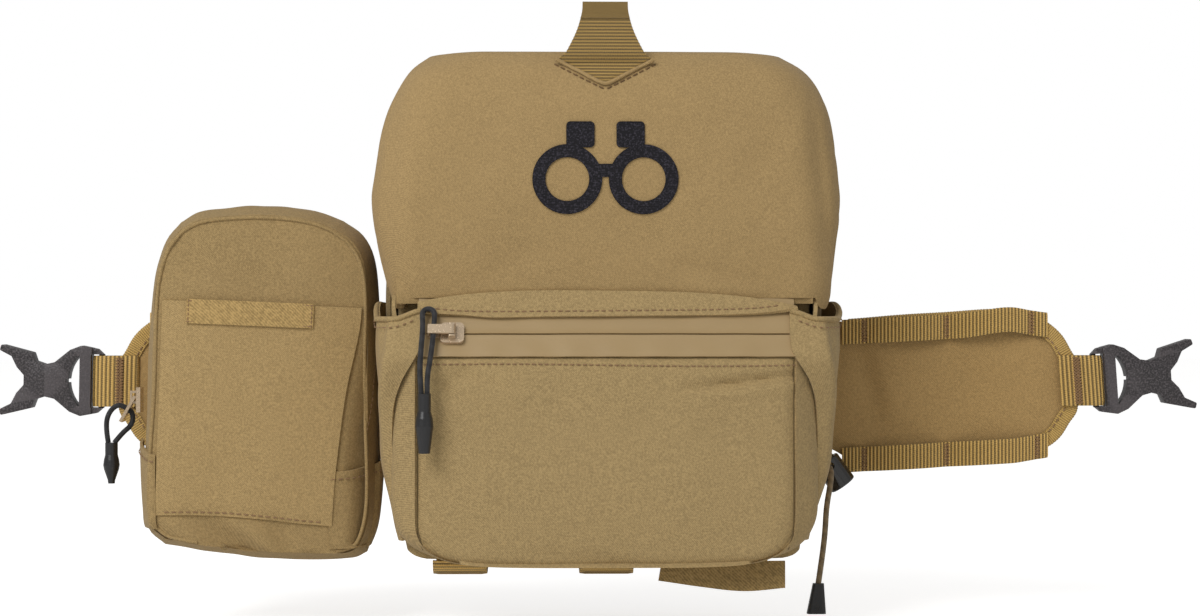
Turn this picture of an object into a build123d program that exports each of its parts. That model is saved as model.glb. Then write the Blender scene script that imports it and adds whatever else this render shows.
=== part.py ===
"""Binocular harness pack: a chest pack with a forward-opening hood, a zipped front pocket,
two side wings with buckles, and a zipped pouch carried on the left wing.

Frame, in millimetres: +Z up, the front faces -Y, +X to the right of someone facing the front.
The origin is the middle of the back pad's outer face, which rests on the wearer's chest.
"""
from build123d import *
from math import cos, radians, sin, tan
import os

os.makedirs("parts", exist_ok=True)

# ---- driving dimensions ---------------------------------------------------------------------
# main compartment
PACK_HALF_W = 97.0        # outer half width of the main compartment
PACK_TOP = 92.0           # rim height above the origin
PACK_BOTTOM = -116.0      # underside of the main compartment
PACK_DEPTH = 82.5         # from the stiffener to the front wall
SHELL_WALL = 3.0
LINER_WALL = 1.5
FLOOR_PAD = 6.0
SEAM_GAP = 0.3            # between cloth faces that only touch
FRONT_CORNER = 20.0       # plan radius of the front corners
BACK_CORNER = 6.0

# back
PAD_HALF_W = 84.0
PAD_TOP = 84.0
PAD_BOTTOM = -84.0
PAD_THICK = 8.0
PAD_CORNER = 18.0
SHEET_THICK = 1.5
SHEET_MARGIN = 4.0        # stiffener inside the main compartment's outline

# hood
HOOD_WALL = 2.0
HOOD_PANEL = 1.5          # outer front panel, sewn over the hood's own front wall
HOOD_GAP = 2.5            # from the compartment's front wall to the hood's inner face
HOOD_SIDE_GAP = 0.8
HOOD_HEM = 7.5            # height of the hood's lower front hem
HOOD_BULGE = 110.0        # half width at its widest
HOOD_BULGE_Z = 50.0
HOOD_SHOULDER = (98.0, 104.0)
HOOD_CROWN = (86.0, 117.0)
HOOD_BACK_RISE = 1.5      # from the rim to the hood's rear hem
HOOD_BACK_INSET = 5.5     # hood's rear face in front of the stiffener
NOTCH_HALF_W = 24.0
NOTCH_DEPTH = 14.5
EMBLEM_RING = 16.0
EMBLEM_RING_X = 17.5      # ring's centre from the middle
EMBLEM_BORE = 10.0
EMBLEM_Z = 57.0
THREAD = 0.8

# webbing
WEB_WIDE = 25.4           # one-inch webbing
WEB_THICK = 1.5
LID_TAB_HALF_W = 10.5     # two-inch webbing folded in half across
LID_TAB_FLARE = 21.5
LID_TAB_RISE = 24.0       # above the hood's crown

# front pocket
POCKET_PROUD = 20.0       # front panel in front of the compartment's front wall
POCKET_PANEL_HALF_W = 87.0
POCKET_LIP = 4.0          # flat on top of the slope
POCKET_TOP = 6.0
POCKET_DROP = 3.0         # pocket's underside below the compartment's
SLOPE = 60.0              # zipper band's slope from level, degrees
CLOTH = 2.0
TAPE = 1.0
SLIT = 1.2                # gap between the two tapes
SLIT_AT = 11.0            # slit's middle, up the slope from the panel
FLAP_AT = 22.0            # storm flap's lower edge, up the slope
COIL = 1.6
ZIP_HALF_L = 78.0
LABEL_X = (26.0, 83.0)    # hanging label, from end to end
LABEL_DROP = 11.0
SLIDER_X = -70.0
SLIDER_PLATE = 1.9
SLIDER_BODY = 5.5         # half length of the slider's plate
TAB_PIN_OUT = 4.3         # pin's height over the zipper band
TAB_PIN_R = 0.6
TAB_LONG = 11.0
TAB_HALF_WIDE = 2.3

# side stretch pockets
SIDE_BULGE_RIGHT = 112.0
SIDE_BULGE_LEFT = 106.0
SIDE_FRONT = 4.0          # behind the compartment's front wall
SIDE_BACK = -42.0
SIDE_RIM = 3.0
SIDE_FOOT = -104.0

# webbing loops under the floor
BOTTOM_LOOP_X = (-67.0, -2.0, 63.0)
BOTTOM_LOOP_DROP = 8.0

# wings
WING_ROOT = 98.4
WING_BACK = -9.0
WING_THICK = 4.0
BINDING = 0.8
STRIP_WIDE = 12.0
STRIP_RISE = 5.0
STRIP_TACKS = (130.0, 172.0, 221.0)
STRIP_START = 120.0
TACK = 3.0
END_BAR_X = 246.0
END_BAR_Z = -36.0
END_BAR_R = 1.5
END_FOLD = 18.0           # webbing sewn to the wing, back from the bar
LOOP_R = 2.9              # inside of the webbing's turn round the bar
BUCKLE_THICK = 9.0
BUCKLE_CAVITY = 5.0
RIGHT_BUCKLE_TILT = 4.0
LEFT_BUCKLE_TILT = 1.0

# pouch on the left wing
POUCH_X = -164.0
POUCH_HALF_W = 57.0
POUCH_TOP = 48.0
POUCH_BOTTOM = -118.0
POUCH_BACK = -21.5
POUCH_REAR_D = 20.0
POUCH_FRONT_D = 24.8
POUCH_ZIP = 1.2
POUCH_TAPER = 13.0
SLIP_DEPTH = 7.0
POUCH_SLIDER_Z = -44.0

# cord lock and its cord
CORD_D = 2.8
LOCK_R = 6.75
LOCK_L = 15.0
LOCK_TILT = 54.0          # axis below level
LOCK_BORE = 4.9
PLUNGER_TRAVEL = 3.5
LOCK_HOLE_AT = 12.0       # cross hole from the closed end
PULL_CORD_D = 2.5

# rings for the shoulder straps
RING_X = 66.0
RING_RISE = 12.0          # ring's lower wire above the rim
RING_WIRE = 1.6
RING_HIGH = 12.0

# ---- places worked out from the dimensions --------------------------------------------------
SHEET_BACK = -PAD_THICK
SHELL_BACK = SHEET_BACK - SHEET_THICK
SHELL_FRONT = SHELL_BACK - PACK_DEPTH
HOOD_INNER_Y = SHELL_FRONT - HOOD_GAP
HOOD_MID_Y = HOOD_INNER_Y - HOOD_WALL
HOOD_FRONT_Y = HOOD_MID_Y - HOOD_PANEL
HOOD_BACK_Y = SHELL_BACK - HOOD_BACK_INSET
HOOD_WAIST = PACK_HALF_W + HOOD_SIDE_GAP + HOOD_WALL
POCKET_FRONT_Y = SHELL_FRONT - POCKET_PROUD
POCKET_BACK_Y = SHELL_FRONT - SEAM_GAP
POCKET_FOOT = PACK_BOTTOM - POCKET_DROP
SLOPE_RUN = POCKET_PROUD - POCKET_LIP
SLOPE_RISE = SLOPE_RUN * tan(radians(SLOPE))
SLOPE_L = SLOPE_RUN / cos(radians(SLOPE))
PANEL_TOP = POCKET_TOP - SLOPE_RISE
SLOPE_UP = Vector(0, cos(radians(SLOPE)), sin(radians(SLOPE)))
SLOPE_OUT = Vector(0, -sin(radians(SLOPE)), cos(radians(SLOPE)))
SLOPE_FOOT = Vector(0, POCKET_FRONT_Y, PANEL_TOP)
END_BAR_Y = WING_BACK - WING_THICK / 2
LOCK_AXIS = Vector(cos(radians(LOCK_TILT)), 0, -sin(radians(LOCK_TILT)))
LOCK_END = Vector(119.1, -24.0, -87.0)
LOCK_HOLE = LOCK_END - LOCK_AXIS * LOCK_HOLE_AT
TAB_FACE_Y = SHELL_BACK - 0.5
POUCH_SPLIT = POUCH_BACK - POUCH_REAR_D - POUCH_ZIP
POUCH_SEAM = POUCH_SPLIT - 0.2
POUCH_FRONT_Y = POUCH_SEAM - POUCH_FRONT_D
POUCH_INSET = POUCH_FRONT_D * tan(radians(POUCH_TAPER))
RING_Z = PACK_TOP + RING_RISE
RING_Y = SHELL_BACK + SHEET_THICK + 0.1 + WEB_THICK + RING_WIRE + 0.5

# the elastic cord's route, from the anchor tab through the lock and down to its moulded end
CORD_ROUTE = [
    (LOCK_HOLE.X, TAB_FACE_Y, LOCK_HOLE.Z),
    (LOCK_HOLE.X, -33.5, LOCK_HOLE.Z),
    (111.0, -39.6, -84.6),
    (108.7, -40.6, -96.5),
    (108.2, -40.2, -108.5),
    (106.8, -39.5, -121.0),
    (105.0, -39.0, -133.6),
]
# the front pull's cord, from one side of its grip, through the tab's eye and back
FRONT_PULL_ROUTE = [
    (-83.4, -120.4, -38.5),
    (-84.2, -119.6, -29.0),
    (-83.8, -116.0, -19.0),
    (-83.2, -110.6, -9.8),
    (-83.5, -107.2, -4.3),
    (-83.6, -105.65, -1.82),
    (-81.96, -104.81, -0.4),
    (-79.64, -104.74, -0.44),
    (-78.0, -105.44, -1.94),
    (-78.1, -107.4, -5.9),
    (-78.4, -109.6, -10.4),
    (-78.7, -113.2, -15.6),
    (-79.6, -117.6, -24.0),
    (-80.9, -120.2, -31.0),
    (-80.8, -120.4, -38.5),
]
FRONT_GRIP_TOP = (-82.1, -120.4, -38.5)
# the pouch pull's cord
POUCH_PULL_ROUTE = [
    (-236.9, -44.6, -64.6),
    (-238.2, -44.4, -57.5),
    (-237.2, -43.8, -50.5),
    (-232.8, -42.9, -46.0),
    (-227.9, -42.1, -48.3),
    (-225.4, -41.6, -51.2),
    (-226.2, -41.8, -56.4),
    (-230.6, -43.0, -60.0),
    (-234.0, -44.6, -64.6),
]
POUCH_GRIP_TOP = (-235.4, -44.6, -64.6)


# ---- shared shapes --------------------------------------------------------------------------
def outline(points, radius):
    """Closed flat outline with rounded corners; radius is one value or one for each corner."""
    return make_face(FilletPolyline(*points, radius=radius, close=True))


def plate(face, y_back, thick, taper=0.0):
    """Face in X and Z, placed at y_back and made thick towards the front."""
    return extrude(Plane.XZ.offset(-y_back) * face, thick, taper=taper)


def side_prism(points, x_low, x_high):
    """Profile in Y and Z, run along X."""
    return extrude(Plane.YZ.offset(x_low) * make_face(Polyline(*points, close=True)), x_high - x_low)


def plan_prism(points, z_low, z_high, radius=0.0):
    """Outline in X and Y, run up Z."""
    line = FilletPolyline(*points, radius=radius, close=True) if radius else Polyline(*points, close=True)
    return Pos(0, 0, z_low) * extrude(make_face(line), z_high - z_low)


def block(x, y, z):
    """Block between pairs of values along each axis."""
    return Pos((x[0] + x[1]) / 2, (y[0] + y[1]) / 2, (z[0] + z[1]) / 2) * Box(
        abs(x[1] - x[0]), abs(y[1] - y[0]), abs(z[1] - z[0])
    )


def mirror_x(shape):
    return mirror(shape, Plane.YZ)


def both_sides(points):
    """Right half's outline points, followed by their mirror images."""
    return points + [(-x, z) for x, z in reversed(points)]


def cord(points, diameter, least=0.0):
    """Tube of straight runs and tangent arcs, each arc as large as its two runs allow."""
    knots = [Vector(*p) for p in points]
    radii = []
    for a, b, c in zip(knots, knots[1:], knots[2:]):
        turn = (b - a).get_angle(c - b)
        shorter = min((b - a).length, (c - b).length)
        radii.append(0.45 * shorter / tan(radians(turn / 2)))
    print("cord radii", [round(r, 1) for r in radii], "least allowed", least)
    path = FilletPolyline(*points, radius=radii)
    section = Plane(origin=path @ 0, z_dir=path % 0) * Circle(diameter / 2)
    tube = sweep(section, path)
    print("cord length", round(path.length, 1), "volume ratio",
          round(tube.volume / (path.length * 3.14159 * diameter**2 / 4), 3))
    return tube


def round_profile(base, axis, stations):
    """Turned solid along axis from base; stations are (distance, radius)."""
    points = [(0, stations[0][0])] + [(r, d) for d, r in stations] + [(0, stations[-1][0])]
    face = make_face(Polyline(*[(r, d) for r, d in points], close=True))
    solid = revolve(Plane.XZ * face, Axis.Z)
    return Plane(origin=base, z_dir=axis).location * solid


# ---- back and main compartment --------------------------------------------------------------
def compartment(inset, z_low, z_high):
    """Main compartment's plan, moved in by inset, as a solid between two heights."""
    half, front, back = PACK_HALF_W - inset, SHELL_FRONT + inset, SHELL_BACK - inset
    plan = FilletPolyline(
        (-half, back), (half, back), (half, front), (-half, front),
        radius=[BACK_CORNER, BACK_CORNER, FRONT_CORNER - inset, FRONT_CORNER - inset], close=True,
    )
    return Pos(0, 0, z_low) * extrude(make_face(plan), z_high - z_low)


def back_pad():
    corners = both_sides([(PAD_HALF_W, PAD_BOTTOM), (PAD_HALF_W, PAD_TOP)])
    return plate(outline(corners, PAD_CORNER), 0, PAD_THICK)


def stiffener_sheet():
    half = PACK_HALF_W - SHEET_MARGIN
    corners = both_sides([(half, PACK_BOTTOM + SHEET_MARGIN), (half, PACK_TOP - SHEET_MARGIN)])
    return plate(outline(corners, 12), SHEET_BACK, SHEET_THICK)


def main_shell():
    outer = compartment(0, PACK_BOTTOM, PACK_TOP)
    outer = fillet(outer.faces().sort_by(Axis.Z)[0].edges(), BACK_CORNER - 1)
    return outer - compartment(SHELL_WALL, PACK_BOTTOM + SHELL_WALL, PACK_TOP + 1)


def body_liner():
    gap = SHELL_WALL + 0.2
    low = PACK_BOTTOM + gap
    return compartment(gap, low, PACK_TOP - 4) - compartment(
        gap + LINER_WALL, low + LINER_WALL, PACK_TOP
    )


def floor_pad():
    low = PACK_BOTTOM + SHELL_WALL + LINER_WALL + 0.4
    return compartment(SHELL_WALL + LINER_WALL + 1.0, low, low + FLOOR_PAD)


def rim_magnets():
    wall = SHELL_BACK - SHELL_WALL - LINER_WALL - 0.4
    return [block((s * 38, s * 60), (wall, wall - 2.4), (76, 87)) for s in (-1, 1)]


def side_gussets():
    """Pleated cloth between the hood and the compartment, one panel on each side."""
    pleats = []
    for s in (-1, 1):
        x = PACK_HALF_W + 0.1
        pleats.append(block((s * x, s * (x + 0.5)), (SHELL_FRONT + 14, SHELL_BACK - 14), (4, 46)))
    return pleats


# ---- front pocket ---------------------------------------------------------------------------
def pocket_solid(inset):
    """Front pocket's outer form, moved in by inset on all but its back."""
    front, foot = POCKET_FRONT_Y + inset, POCKET_FOOT + inset
    lip = SHELL_FRONT - POCKET_LIP
    slope_in = inset / sin(radians(SLOPE))
    top = POCKET_TOP - inset
    top_y = lip + slope_in - inset / tan(radians(SLOPE))
    foot_z = top - (top_y - front) * tan(radians(SLOPE))
    profile = [(POCKET_BACK_Y, foot), (front, foot), (front, foot_z), (top_y, top), (POCKET_BACK_Y, top)]
    side = side_prism(profile, -PACK_HALF_W, PACK_HALF_W)
    wide, narrow = PACK_HALF_W - 1 - inset, POCKET_PANEL_HALF_W - inset
    plan = [
        (-wide, POCKET_BACK_Y), (wide, POCKET_BACK_Y), (wide - 2, POCKET_FRONT_Y + 9),
        (narrow, front), (-narrow, front), (2 - wide, POCKET_FRONT_Y + 9),
    ]
    body = side & plan_prism(plan, POCKET_FOOT - 5, POCKET_TOP + 5)
    corners = both_sides([(wide + inset, POCKET_FOOT), (wide + inset, POCKET_TOP + 5)])
    return body & plate(outline(corners, [16, 1, 1, 16]), POCKET_BACK_Y + 1, POCKET_PROUD + 2)


def slope_band(low, high, depth_out, depth_in):
    """Strip along the slope between two distances up it, from depth_out to depth_in under it."""
    corners = []
    for up, down in ((low, depth_out), (high, depth_out), (high, depth_in), (low, depth_in)):
        p = SLOPE_FOOT + SLOPE_UP * up - SLOPE_OUT * down
        corners.append((p.Y, p.Z))
    return side_prism(corners, -PACK_HALF_W, PACK_HALF_W)


def pocket_plan():
    wide = PACK_HALF_W - 1
    plan = [
        (-wide, POCKET_BACK_Y), (wide, POCKET_BACK_Y), (wide - 2, POCKET_FRONT_Y + 9),
        (POCKET_PANEL_HALF_W, POCKET_FRONT_Y), (POCKET_PANEL_HALF_W, POCKET_FRONT_Y - 9),
        (-POCKET_PANEL_HALF_W, POCKET_FRONT_Y - 9), (-POCKET_PANEL_HALF_W, POCKET_FRONT_Y),
        (2 - wide, POCKET_FRONT_Y + 9),
    ]
    return plan_prism(plan, POCKET_FOOT, POCKET_TOP + 5)


def front_pocket_gusset():
    hollow = pocket_solid(0) - pocket_solid(CLOTH)
    behind_panel = block((-200, 200), (POCKET_FRONT_Y + CLOTH, 0), (-200, 200))
    return (hollow & behind_panel) - slope_band(-8, SLOPE_L - 1.0, -5, CLOTH + 0.6)


def front_pocket_panel():
    wall = pocket_solid(0) & block((-200, 200), (POCKET_FRONT_Y, POCKET_FRONT_Y + CLOTH), (-200, 200))
    return wall - slope_band(-8, SLOPE_L, -5, TAPE + 0.2)


def zipper_tape(low, high):
    return slope_band(low, high, 0, TAPE) & pocket_plan()


def storm_flap():
    return slope_band(FLAP_AT, SLOPE_L - 2.0, -CLOTH, -0.1) & pocket_plan()


def zipper_coil():
    """Two rows of coil behind the tapes and the two end stops."""
    rows = []
    for low in (SLIT_AT - SLIT / 2 - COIL, SLIT_AT + SLIT / 2):
        rows.append(slope_band(low, low + COIL, TAPE, TAPE + COIL) & block(
            (-ZIP_HALF_L, ZIP_HALF_L), (-200, 0), (-200, 200)))
    for s in (-1, 1):
        rows.append(slope_band(SLIT_AT - 2.6, SLIT_AT + 2.6, TAPE, TAPE + COIL) & block(
            (s * (ZIP_HALF_L + 0.2), s * (ZIP_HALF_L + 2.2)), (-200, 0), (-200, 200)))
    return rows


def on_slope(x, up, out=0.0):
    """Plane on the zipper band: its x runs along the zipper and its z points outwards."""
    p = SLOPE_FOOT + SLOPE_UP * up + SLOPE_OUT * out
    return Plane(origin=(x, p.Y, p.Z), x_dir=(1, 0, 0), z_dir=SLOPE_OUT)


def front_slider():
    """Top plate with two ears and a pin for the tab, a keel through the slit and a lower plate."""
    top = Pos(0, 0, 0.3) * extrude(RectangleRounded(11.0, 10.5, 2.4), SLIDER_PLATE)
    keel = block((1.0, 5.0), (-0.35, 0.35), (-3.6, 1.0))
    lower = Pos(0, 0, -3.8) * extrude(RectangleRounded(10.0, 8.5, 2.0), 0.8)
    body = top + keel + lower
    for s in (-1, 1):
        ear = block((-1.7, 1.7), (s * 2.5, s * 3.4), (1.5, TAB_PIN_OUT + 1.0))
        body += fillet(ear.edges().filter_by(Axis.Y).group_by(Axis.Z)[-1], 0.9)
    body += Pos(0, 0, TAB_PIN_OUT) * Rot(90, 0, 0) * Cylinder(TAB_PIN_R, 6.4)
    return on_slope(SLIDER_X, SLIT_AT).location * body


def front_pull_tab():
    """Folded metal tab that lies along the zipper: a knuckle on the pin and a tunnel for the cord."""
    half = TAB_HALF_WIDE
    front_low = TAB_PIN_OUT + 0.6
    knuckle = Pos(0, 0, TAB_PIN_OUT) * Rot(90, 0, 0) * Cylinder(1.6, 2 * half)
    front = block((-TAB_LONG, 0), (-half, half), (front_low, front_low + 1.0))
    back_out = front_low - PULL_CORD_D - 0.3
    back = block((-TAB_LONG, -SLIDER_BODY - 0.4), (-half, half), (back_out - 0.8, back_out))
    fold = block((-TAB_LONG, 0.8 - TAB_LONG), (-half, half), (back_out - 0.8, front_low + 1.0))
    body = knuckle + front + back + fold
    body -= Pos(0, 0, TAB_PIN_OUT) * Rot(90, 0, 0) * Cylinder(TAB_PIN_R + 0.06, 12)
    return on_slope(SLIDER_X, SLIT_AT).location * body


def grip(top, length, neck, bulge, tip):
    """Moulded rubber grip hanging straight down: a neck, a bulge and a tapering tip."""
    stations = [
        (0, neck), (length * 0.30, neck), (length * 0.42, bulge * 0.92), (length * 0.55, bulge),
        (length * 0.66, bulge * 0.9), (length * 0.92, tip * 1.1), (length, tip),
    ]
    return round_profile(top, (0, 0, -1), stations)


# ---- side stretch pockets -------------------------------------------------------------------
def side_pocket(bulge):
    """Open-topped stretch pocket against the compartment's side, for the right side."""
    root = PACK_HALF_W + 0.3
    outer = [(root, SIDE_RIM), (bulge, SIDE_RIM - 1), (bulge, -46), (bulge - 4, -78), (root, SIDE_FOOT)]
    cavity_foot = SIDE_FOOT + 14
    inner = [
        (root - 1, SIDE_RIM + 2), (bulge - CLOTH, SIDE_RIM + 2), (bulge - CLOTH, -46),
        (bulge - 4 - CLOTH, -77), (root - 1, cavity_foot),
    ]
    front = SHELL_FRONT + SIDE_FRONT
    body = plate(make_face(Polyline(*outer, close=True)), SIDE_BACK, SIDE_BACK - front)
    cavity = plate(
        make_face(Polyline(*inner, close=True)), SIDE_BACK - CLOTH, SIDE_BACK - front - 2 * CLOTH
    )
    return body - cavity


# ---- things under the pack ------------------------------------------------------------------
def sewn_loop(x, y_low, y_high, drop):
    """Webbing loop hanging under the floor between two sewn ends."""
    top = PACK_BOTTOM - 0.1
    mid = (y_low + y_high) / 2
    outer = make_face(Polyline((y_low, top), (y_low + 8, top - drop), (y_high - 8, top - drop),
                               (y_high, top), close=True))
    t = WEB_THICK
    inner = make_face(Polyline((y_low + 2.4 * t, top + 1), (y_low + 8 + t, top - drop + t),
                               (y_high - 8 - t, top - drop + t), (y_high - 2.4 * t, top + 1), close=True))
    ring = extrude(Plane.YZ.offset(x - WEB_WIDE / 2) * (outer - inner), WEB_WIDE)
    return ring


def bottom_webbing_loops():
    y_low, y_high = SHELL_FRONT + 8, SHELL_BACK - 30.5
    return [sewn_loop(x, y_low, y_high, BOTTOM_LOOP_DROP) for x in BOTTOM_LOOP_X]


def hanging_label():
    """Plain woven label sewn into the pocket's lower seam."""
    y = POCKET_BACK_Y - 3
    return block(LABEL_X, (y, y - 0.8), (POCKET_FOOT - 0.1, POCKET_FOOT - LABEL_DROP))


# ---- hood -----------------------------------------------------------------------------------
def hood_points(inset=0.0):
    shoulder_x, shoulder_z = HOOD_SHOULDER
    crown_x, crown_z = HOOD_CROWN
    return both_sides([
        (HOOD_WAIST - inset, HOOD_HEM), (HOOD_WAIST + 1.2 - inset, 28),
        (HOOD_BULGE - inset, HOOD_BULGE_Z), (shoulder_x - inset, shoulder_z - inset * 0.4),
        (crown_x - inset * 0.7, crown_z - inset),
    ])


def hood_face(inset=0.0):
    r = [1.0, 12.0, 18.0, 14.0, 14.0]
    return outline(hood_points(inset), r + r[::-1])


def hood_cut():
    """Everything below the slanting lower edges of the hood's side flaps."""
    return side_prism(
        [(HOOD_FRONT_Y + 8, -10), (HOOD_FRONT_Y + 8, HOOD_HEM + 1), (-62, 30), (0, 38), (0, -10)], -130, 130
    )


def lid_shell():
    depth = HOOD_BACK_Y - HOOD_MID_Y
    outer = plate(hood_face(), HOOD_BACK_Y, depth)
    inner_back = HOOD_BACK_Y - HOOD_WALL
    inner_depth = inner_back - HOOD_INNER_Y
    inner = plate(hood_face(HOOD_WALL), inner_back, inner_depth)
    waist = HOOD_WAIST - HOOD_WALL
    mouth = block((-waist, waist), (inner_back, HOOD_INNER_Y), (0, HOOD_HEM + 16))
    behind = block((-waist, waist), (0, inner_back - 1), (0, PACK_TOP + HOOD_BACK_RISE))
    return outer - inner - mouth - behind - hood_cut()


def notch_face(grow=0.0):
    crown = HOOD_CROWN[1]
    deep = crown - NOTCH_DEPTH
    w = NOTCH_HALF_W + grow
    return make_face(Polyline((-w, crown + 2), (-w + 2, crown), (0, deep - grow), (w - 2, crown),
                              (w, crown + 2), close=True))


def lid_front_panel():
    panel = plate(hood_face(0.6), HOOD_MID_Y, HOOD_PANEL)
    return panel - plate(notch_face(), HOOD_MID_Y + 1, HOOD_PANEL + 2)


def lid_pull_tab():
    """Folded webbing tab standing up out of the notch, doubled above the crown."""
    crown = HOOD_CROWN[1]
    low, top = crown - NOTCH_DEPTH + 1.2, crown + LID_TAB_RISE
    foot = [(0, low), (LID_TAB_FLARE - 1.2, crown - 0.6)]
    upper = [(LID_TAB_FLARE - 4, crown + 2), (LID_TAB_HALF_W + 2, crown + 9), (LID_TAB_HALF_W, crown + 16),
             (LID_TAB_HALF_W, top)]
    ply_points = [foot[0]] + [foot[1]] + upper + [(-x, z) for x, z in reversed([foot[1]] + upper)]
    ply = plate(make_face(Polyline(*ply_points, close=True)), HOOD_MID_Y - 0.1, HOOD_PANEL)
    back_points = both_sides([(LID_TAB_FLARE - 4, crown + 2), (LID_TAB_HALF_W + 2, crown + 9),
                              (LID_TAB_HALF_W, crown + 16), (LID_TAB_HALF_W, top)])
    back = plate(make_face(Polyline(*back_points, close=True)), HOOD_MID_Y + 1.4, HOOD_PANEL)
    return ply + back


def lid_emblem():
    """Embroidered mark: a plain outline of binoculars, two rings under a bridge."""
    mark = Rectangle(2 * EMBLEM_RING_X - 2 * EMBLEM_BORE - 1, 6)
    for s in (-1, 1):
        mark += Pos(s * EMBLEM_RING_X, -4) * Circle(EMBLEM_RING)
        mark += Pos(s * 11.5, 16.5) * RectangleRounded(13, 12, 2)
    for s in (-1, 1):
        mark -= Pos(s * EMBLEM_RING_X, -4) * Circle(EMBLEM_BORE)
    return Pos(0, 0, EMBLEM_Z + 6) * plate(mark, HOOD_FRONT_Y, THREAD)


def lid_foam():
    """Foam inside the crown and inside the front wall."""
    crown_x, crown_z = HOOD_CROWN
    top = block((-crown_x + 10, crown_x - 10), (HOOD_BACK_Y - 8, HOOD_INNER_Y + 6),
                (crown_z - HOOD_WALL - 5.2, crown_z - HOOD_WALL - 0.2))
    front = plate(outline(both_sides([(88, 24), (90, 100)]), 8), HOOD_INNER_Y + 1.7, 1.6)
    return [top, front]


def lid_magnets():
    face = HOOD_BACK_Y - HOOD_WALL - 0.1
    low = PACK_TOP + HOOD_BACK_RISE + 0.5
    return [block((s * 38, s * 60), (face, face - 2.4), (low, low + 10)) for s in (-1, 1)]


# ---- wings ----------------------------------------------------------------------------------
WING_OUTLINE = [(WING_ROOT, -4), (200, 0), (217, -3.5), (231, -17), (237, -42), (227, -68), (206, -76.5),
                (132, -81), (118, -70), (WING_ROOT, -66)]
WING_RADII = [1, 20, 14, 14, 22, 14, 20, 7, 12, 1]


def wing_panel():
    return plate(outline(WING_OUTLINE, WING_RADII), WING_BACK, WING_THICK)


def wing_binding():
    """Edge tape folded over the wing's rim, on both faces."""
    face = outline(WING_OUTLINE, WING_RADII)
    band = offset(face, BINDING) - offset(face, -4.0)
    tape = plate(band, WING_BACK + BINDING, WING_THICK + 2 * BINDING)
    tape = tape & block((WING_ROOT, 400), (0, -30), (-100, 10))
    return tape - wing_panel()


def molle_strip(z, tilt):
    """Webbing strip tacked down at intervals, so that it stands up in loops between the tacks."""
    face_y = WING_BACK - WING_THICK - BINDING - 0.1
    flats = [(STRIP_START, STRIP_TACKS[0])] + [(t, t) for t in STRIP_TACKS[1:]]
    strip = None
    for low, high in flats:
        run = (low - TACK / 2, high + TACK / 2)
        piece = block(run, (face_y, face_y - WEB_THICK), (-STRIP_WIDE / 2, STRIP_WIDE / 2))
        strip = piece if strip is None else strip + piece
    for low, high in zip(STRIP_TACKS, STRIP_TACKS[1:]):
        a, b = low + TACK / 2 - 0.2, high - TACK / 2 + 0.2
        mid, rise, t = (a + b) / 2, STRIP_RISE, WEB_THICK
        outer = ThreePointArc((a, face_y - t), (mid, face_y - t - rise), (b, face_y - t))
        inner = ThreePointArc((a + t, face_y), (mid, face_y - rise), (b - t, face_y))
        face = make_face([
            outer, Line((b, face_y - t), (b, face_y)), Line((b, face_y), (b - t, face_y)), inner,
            Line((a + t, face_y), (a, face_y)), Line((a, face_y), (a, face_y - t)),
        ])
        strip += Pos(0, 0, -STRIP_WIDE / 2) * extrude(face, STRIP_WIDE)
    turn = Pos(STRIP_START, 0, z) * Rot(0, -tilt, 0) * Pos(-STRIP_START, 0, 0)
    return turn * strip


def molle_strips():
    return [molle_strip(-12.0, 2.3), molle_strip(-75.0, 3.3)]


def end_webbing(tilt, side):
    """Webbing folded round the buckle's end bar and sewn to both faces of the wing."""
    r, t = LOOP_R, WEB_THICK
    start = END_BAR_X - END_FOLD
    ring = make_face([
        Line((start, -r - t), (END_BAR_X, -r - t)),
        ThreePointArc((END_BAR_X, -r - t), (END_BAR_X + r + t, 0), (END_BAR_X, r + t)),
        Line((END_BAR_X, r + t), (start, r + t)), Line((start, r + t), (start, r)),
        Line((start, r), (END_BAR_X, r)),
        ThreePointArc((END_BAR_X, r), (END_BAR_X + r, 0), (END_BAR_X, -r)),
        Line((END_BAR_X, -r), (start, -r)), Line((start, -r), (start, -r - t)),
    ])
    loop = Pos(-END_BAR_X, 0, -WEB_WIDE / 2) * extrude(ring, WEB_WIDE)
    loop = Pos(END_BAR_X, END_BAR_Y, END_BAR_Z) * Rot(0, -tilt, 0) * loop
    return loop if side > 0 else mirror_x(loop)


def buckle():
    """Socket half of a side-release buckle, lying along +X with its end bar at the origin."""
    slot_half = WEB_WIDE / 2 + 0.4
    body = extrude(Plane.XZ * outline(buckle_edge(), 0.8), BUCKLE_THICK / 2, both=True)
    half = BUCKLE_THICK / 2
    body -= block((-1.9, 4.8), (-20, 20), (-slot_half, slot_half))
    for s in (-1, 1):
        body -= block((-3, 4.4), (s * 3.0, s * 6), (-20, 20))
    d_slot = make_face([
        Line((10.3, -12.7), (10.3, 12.7)),
        ThreePointArc((10.3, 12.7), (15.8, 0), (10.3, -12.7)),
    ])
    body -= extrude(Plane.XZ * d_slot, half + 1, both=True)
    body -= block((14.5, 17.0), (-20, 20), (-0.9, 0.9))
    cavity = make_face(Polyline((20.5, -5.6), (20.5, 5.6), (29.5, 6.0), (35.5, 10.8), (52, 15.6),
                                (52, -15.6), (35.5, -10.8), (29.5, -6.0), close=True))
    body -= extrude(Plane.XZ * cavity, BUCKLE_CAVITY / 2, both=True)
    return body + Cylinder(END_BAR_R, 2 * slot_half + 0.4)


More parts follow.
